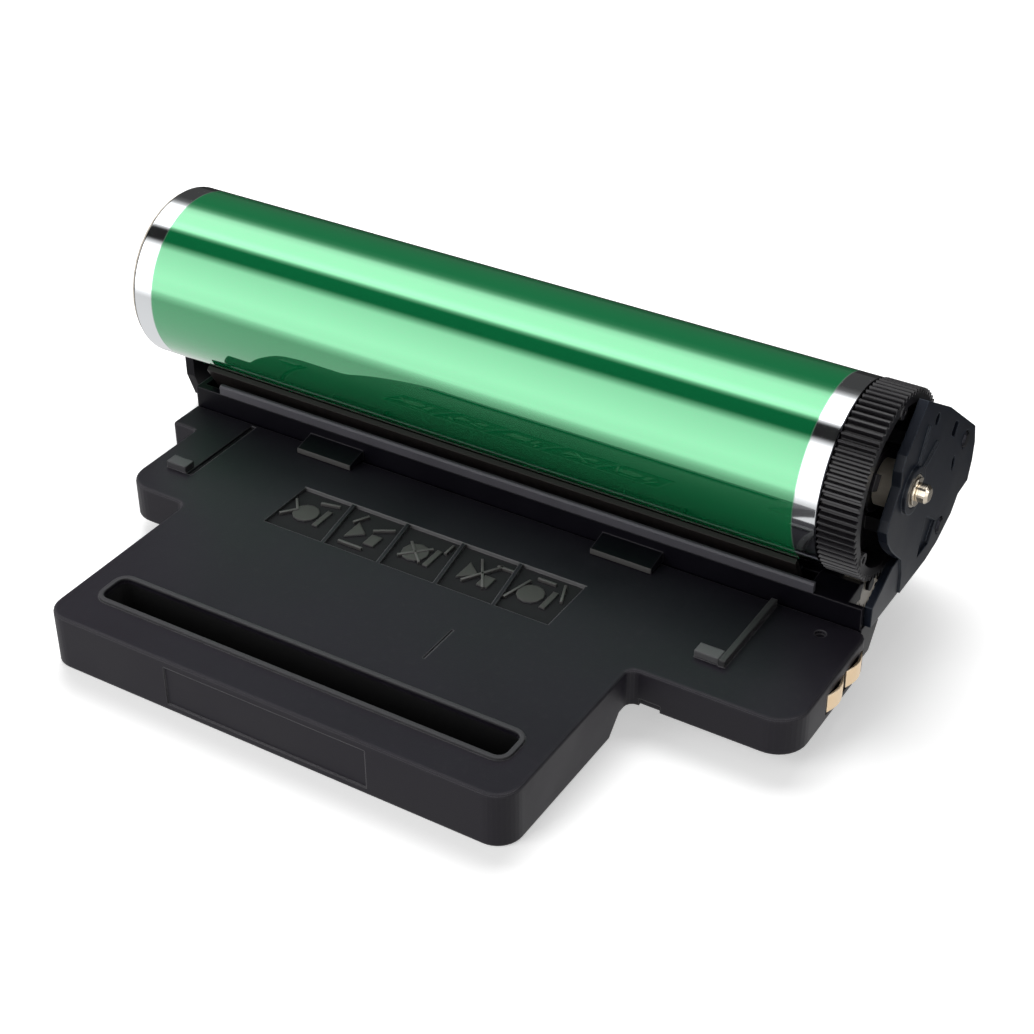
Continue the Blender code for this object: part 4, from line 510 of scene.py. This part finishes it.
def makeTube():
    look = tubeLook
    low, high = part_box("drum_tube")
    radius = (high[1] - low[1]) / 2
    deselectAll()
    bpy.ops.mesh.primitive_cylinder_add(
        vertices=look["sides"], radius=radius, depth=high[0] - low[0], end_fill_type="NGON",
        rotation=(0, math.pi / 2, 0), location=[(a + b) / 2 for a, b in zip(low, high)])
    tube = bpy.context.object
    tube.name = "drumTubeCoated"
    bpy.ops.object.transform_apply(location=True, rotation=True, scale=True)
    axis = Vector((0, (low[1] + high[1]) / 2, (low[2] + high[2]) / 2))

    def isEnd(face):
        return abs(face.normal.x) > 0.9

    def onRim(point):
        outside = (point - axis).yz.length > radius - look["tolerance"]
        return outside and abs(point.x) > high[0] - look["tolerance"]

    bpy.ops.object.mode_set(mode="EDIT")
    facesWhere(tube.data, isEnd)
    bpy.ops.mesh.inset(thickness=look["wall"], use_individual=True)
    # the discs inside the two inset rings become the bore
    facesWhere(tube.data, lambda face: isEnd(face) and len(face.verts) > 4)
    bpy.ops.mesh.bridge_edge_loops()
    # loops beside the rims keep the long sides evenly shaded
    for x in (low[0] + look["supportLoop"], high[0] - look["supportLoop"]):
        bpy.ops.mesh.select_all(action="SELECT")
        bpy.ops.mesh.bisect(plane_co=(x, axis.y, axis.z), plane_no=(1, 0, 0))
    edgesWhere(tube.data, onRim)
    bpy.ops.mesh.bevel(offset=look["rimRound"], segments=look["roundSteps"], affect="EDGES")
    bpy.ops.mesh.select_all(action="SELECT")
    bpy.ops.mesh.normals_make_consistent(inside=False)
    bpy.ops.object.mode_set(mode="OBJECT")
    finishPiece(tube, "drumCoat", "drum")
    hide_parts("drum_tube")


makeTube()
print("tube ready")


signLook = {
    # the row of cells on the tray, in metres, and one stroke's section
    "left": -0.047, "pitch": 0.0216, "middle": -0.0571, "floor": 0.0174, "top": 0.01845,
    "width": 0.0009, "soften": 0.00012, "softenSteps": 2,
    # strokes of each cell: across and along from its centre, length, turn in degrees
    "strokes": [
        [(-0.0078, 0.0026, 0.0062, 128), (-0.0078, -0.0022, 0.0062, 52), (0.0022, 0.0078, 0.0070, 12)],
        [(0.0042, 0.0046, 0.0074, 32), (-0.0010, -0.0074, 0.0092, 0), (-0.0060, 0.0062, 0.0060, 62)],
        [(-0.0022, 0.0000, 0.0118, 45), (-0.0022, 0.0000, 0.0118, 135), (0.0066, 0.0066, 0.0052, 90)],
        [(0.0008, 0.0012, 0.0150, 58), (0.0008, 0.0012, 0.0150, 122), (0.0060, 0.0070, 0.0060, 0)],
        [(-0.0072, 0.0000, 0.0120, 76), (0.0066, 0.0050, 0.0088, 110), (-0.0010, 0.0080, 0.0066, 0)]]}


def makeSignStrokes():
    # thin moulded strokes on the floor of the sign cells, light grey as a painted highlight
    look = signLook
    tall = look["top"] - look["floor"]
    midHeight = (look["floor"] + look["top"]) / 2
    deselectAll()
    strokes = []
    for cell, shapes in enumerate(look["strokes"]):
        centre = look["left"] + look["pitch"] * (cell + 0.5)
        for across, along, length, turn in shapes:
            place = (centre + across, look["middle"] + along, midHeight)
            bpy.ops.mesh.primitive_cube_add(size=1, location=place)
            stroke = bpy.context.object
            stroke.scale = (length, look["width"], tall)
            stroke.rotation_euler.z = math.radians(turn)
            strokes.append(stroke)
    for stroke in strokes:
        stroke.select_set(True)
    bpy.ops.object.transform_apply(location=True, rotation=True, scale=True)
    bpy.ops.object.join()
    signs = bpy.context.object
    signs.name = "signStrokes"
    bpy.ops.object.mode_set(mode="EDIT")
    facesWhere(signs.data, lambda face: face.normal.z > 0.9)
    bpy.ops.mesh.bevel(offset=look["soften"], segments=look["softenSteps"], affect="EDGES")
    bpy.ops.object.mode_set(mode="OBJECT")
    finishPiece(signs, "signHighlightPlastic", "base")


makeSignStrokes()
print("signs ready")


glowTop = 4.0  # strength of a glow ramp's full white


def glowRamp(tree, path, place, stops, span):
    # light by place along a coordinate, until the light path has met a matt surface
    low, high = span
    ramp = tree.nodes.new("ShaderNodeValToRGB")
    while len(ramp.color_ramp.elements) < len(stops):
        ramp.color_ramp.elements.new(0.5)
    for element, (at, bright) in zip(ramp.color_ramp.elements, stops):
        element.position = (at - low) / (high - low)
        element.color = (bright / glowTop, bright / glowTop, bright / glowTop, 1)
    share = mathNode(tree, "DIVIDE", mathNode(tree, "SUBTRACT", place, low), high - low)
    tree.links.new(share, ramp.inputs["Fac"])
    glow = tree.nodes.new("ShaderNodeEmission")
    tree.links.new(ramp.outputs["Color"], glow.inputs["Color"])
    firstBounce = mathNode(tree, "LESS_THAN", path.outputs["Diffuse Depth"], 0.5)
    tree.links.new(mathNode(tree, "MULTIPLY", firstBounce, glowTop), glow.inputs["Strength"])
    return glow.outputs["Emission"]


floorLook = {
    "size": 60.0, "height": -0.0004, "colour": (0.9, 0.9, 0.9), "rough": 0.9,
    # own white that the camera sees, at two distances from the spot below the drum's middle
    "lift": (0.5, 1.0), "liftAt": (0.5, 2.5),
    # how bright the floor looks in a reflection, by its place along Y; the lower values near Y = 0, under
    # the drum, are painted shade from it
    "glow": [(-1.2, 2.5), (-0.6, 2.3), (-0.32, 1.3), (-0.2, 0.75), (-0.06, 0.8), (0.0, 0.8),
             (0.05, 0.3), (0.16, 0.03)],
    "glowSpan": (-1.6, 0.4)}


def makeFloor():
    look = floorLook
    deselectAll()
    bpy.ops.mesh.primitive_plane_add(size=look["size"], location=(0, 0, look["height"]))
    floor = bpy.context.object
    floor.name = "studioFloor"
    material, tree, output = blankMaterial("floorPaint")
    paint = tree.nodes.new("ShaderNodeBsdfPrincipled")
    feed(tree, paint.inputs["Base Color"], look["colour"])
    paint.inputs["Roughness"].default_value = look["rough"]
    paint.inputs["Specular IOR Level"].default_value = 0.0
    path = tree.nodes.new("ShaderNodeLightPath")
    point = objectPoint(tree)
    seen = mathNode(tree, "MAXIMUM", path.outputs["Is Camera Ray"], path.outputs["Is Transmission Ray"])
    distance = vectorNode(tree, "LENGTH", point)["Value"]
    lift = mathNode(tree, "MULTIPLY", seen, mapRange(tree, distance, *look["liftAt"], *look["lift"]))
    feed(tree, paint.inputs["Emission Color"], (1.0, 1.0, 1.0))
    tree.links.new(lift, paint.inputs["Emission Strength"])
    glow = glowRamp(tree, path, splitPoint(tree, point)["Y"], look["glow"], look["glowSpan"])
    mix = tree.nodes.new("ShaderNodeMixShader")
    for socket, source in zip(mix.inputs, (path.outputs["Is Glossy Ray"], paint.outputs["BSDF"], glow)):
        tree.links.new(source, socket)
    tree.links.new(mix.outputs["Shader"], output.inputs["Surface"])
    material.cycles.emission_sampling = "NONE"
    floor.data.materials.append(material)


tentLook = {
    "radius": 6.0, "length": 60.0, "sides": 96, "height": 0.058,
    # angle round the X axis from +Y over the top, and how bright the studio looks there in a reflection
    "glow": [(-30, 0.06), (0, 0.06), (20, 0.06), (42, 0.06), (50, 0.14), (56, 0.6), (62, 1.9), (69, 2.4),
             (84, 2.6), (91, 3.2), (96, 2.8), (99, 0.9), (103, 0.02), (119, 0.02), (124, 0.8), (130, 2.0),
             (142, 2.2), (167, 2.6), (185, 2.4)],
    "glowSpan": (-90.0, 270.0)}


def makeTent():
    # softboxes, dark back and dark gap as the glossy drum sees them
    look = tentLook
    deselectAll()
    bpy.ops.mesh.primitive_cylinder_add(
        vertices=look["sides"], radius=look["radius"], depth=look["length"], end_fill_type="NOTHING",
        rotation=(0, math.pi / 2, 0), location=(0, 0, look["height"]))
    bpy.ops.object.transform_apply(location=False, rotation=True, scale=True)
    tent = bpy.context.object
    tent.name = "studioTent"
    material, tree, output = blankMaterial("tentLight")
    path = tree.nodes.new("ShaderNodeLightPath")
    axes = splitPoint(tree, objectPoint(tree))
    angle = mathNode(tree, "ARCTAN2", axes["Z"], axes["Y"])
    degrees = mathNode(tree, "MULTIPLY", angle, 180 / math.pi)
    low, high = look["glowSpan"]
    wrapped = mathNode(tree, "WRAP", degrees, high, low)
    glow = glowRamp(tree, path, wrapped, look["glow"], look["glowSpan"])
    tree.links.new(glow, output.inputs["Surface"])
    material.cycles.emission_sampling = "NONE"
    tent.data.materials.append(material)
    tent.visible_camera = tent.visible_diffuse = tent.visible_shadow = False
    tent.visible_transmission = tent.visible_volume_scatter = False


# soft light by height, for what the matt surfaces get; camera and reflections see white
worldLook = {"low": 0.0425, "high": 0.2295, "heights": (-0.2, 0.9)}


def makeWorld():
    look = worldLook
    world = bpy.data.worlds.new("studioWorld")
    world.use_nodes = True
    world.cycles.sampling_method = "NONE"
    tree = world.node_tree
    tree.nodes.clear()
    output = tree.nodes.new("ShaderNodeOutputWorld")
    back = tree.nodes.new("ShaderNodeBackground")
    path = tree.nodes.new("ShaderNodeLightPath")
    seen = mathNode(tree, "MAXIMUM", path.outputs["Is Camera Ray"], path.outputs["Is Glossy Ray"])
    seen = mathNode(tree, "MAXIMUM", seen, path.outputs["Is Transmission Ray"])
    height = splitPoint(tree, objectPoint(tree))["Z"]
    soft = mapRange(tree, height, *look["heights"], look["low"], look["high"])
    tree.links.new(mathNode(tree, "MAXIMUM", seen, soft), back.inputs["Strength"])
    tree.links.new(back.outputs["Background"], output.inputs["Surface"])
    bpy.context.scene.world = world


lampAim = (0, -0.03, 0.03)
lamps = {
    "topSoftbox": {"place": (-0.6, 1.0, 1.5), "size": 1.5, "power": 40.0},
    "frontSoftbox": {"place": (-0.9, -1.5, 0.9), "size": 1.2, "power": 15.5}}


def makeLamps():
    for name, look in lamps.items():
        lamp = bpy.data.lights.new(name, "AREA")
        lamp.size = look["size"]
        lamp.energy = look["power"]
        holder = bpy.data.objects.new(name, lamp)
        bpy.context.scene.collection.objects.link(holder)
        holder.location = look["place"]
        toward = Vector(lampAim) - Vector(look["place"])
        holder.rotation_euler = toward.to_track_quat("-Z", "Y").to_euler()
        holder.visible_camera = False
        holder.visible_glossy = False


photoCamera = {
    "place": (0.31324, -0.49367, 0.39585), "lens": 71.17, "sensor": 36.0, "nearest": 0.01,
    "right": (0.8522, 0.5232, -0.00518), "up": (-0.29148, 0.48294, 0.82571),
    "back": (0.43451, -0.70216, 0.56406)}


def makeCamera():
    look = photoCamera
    data = bpy.data.cameras.new("photoCamera")
    data.lens = look["lens"]
    data.sensor_width = look["sensor"]
    data.clip_start = look["nearest"]
    camera = bpy.data.objects.new("photoCamera", data)
    bpy.context.scene.collection.objects.link(camera)
    turned = Matrix((look["right"], look["up"], look["back"])).transposed().to_4x4()
    camera.matrix_world = Matrix.Translation(look["place"]) @ turned
    bpy.context.scene.camera = camera


makeFloor()
makeTent()
makeWorld()
makeLamps()
makeCamera()
bpy.context.scene.view_settings.view_transform = "Standard"
print("studio ready")
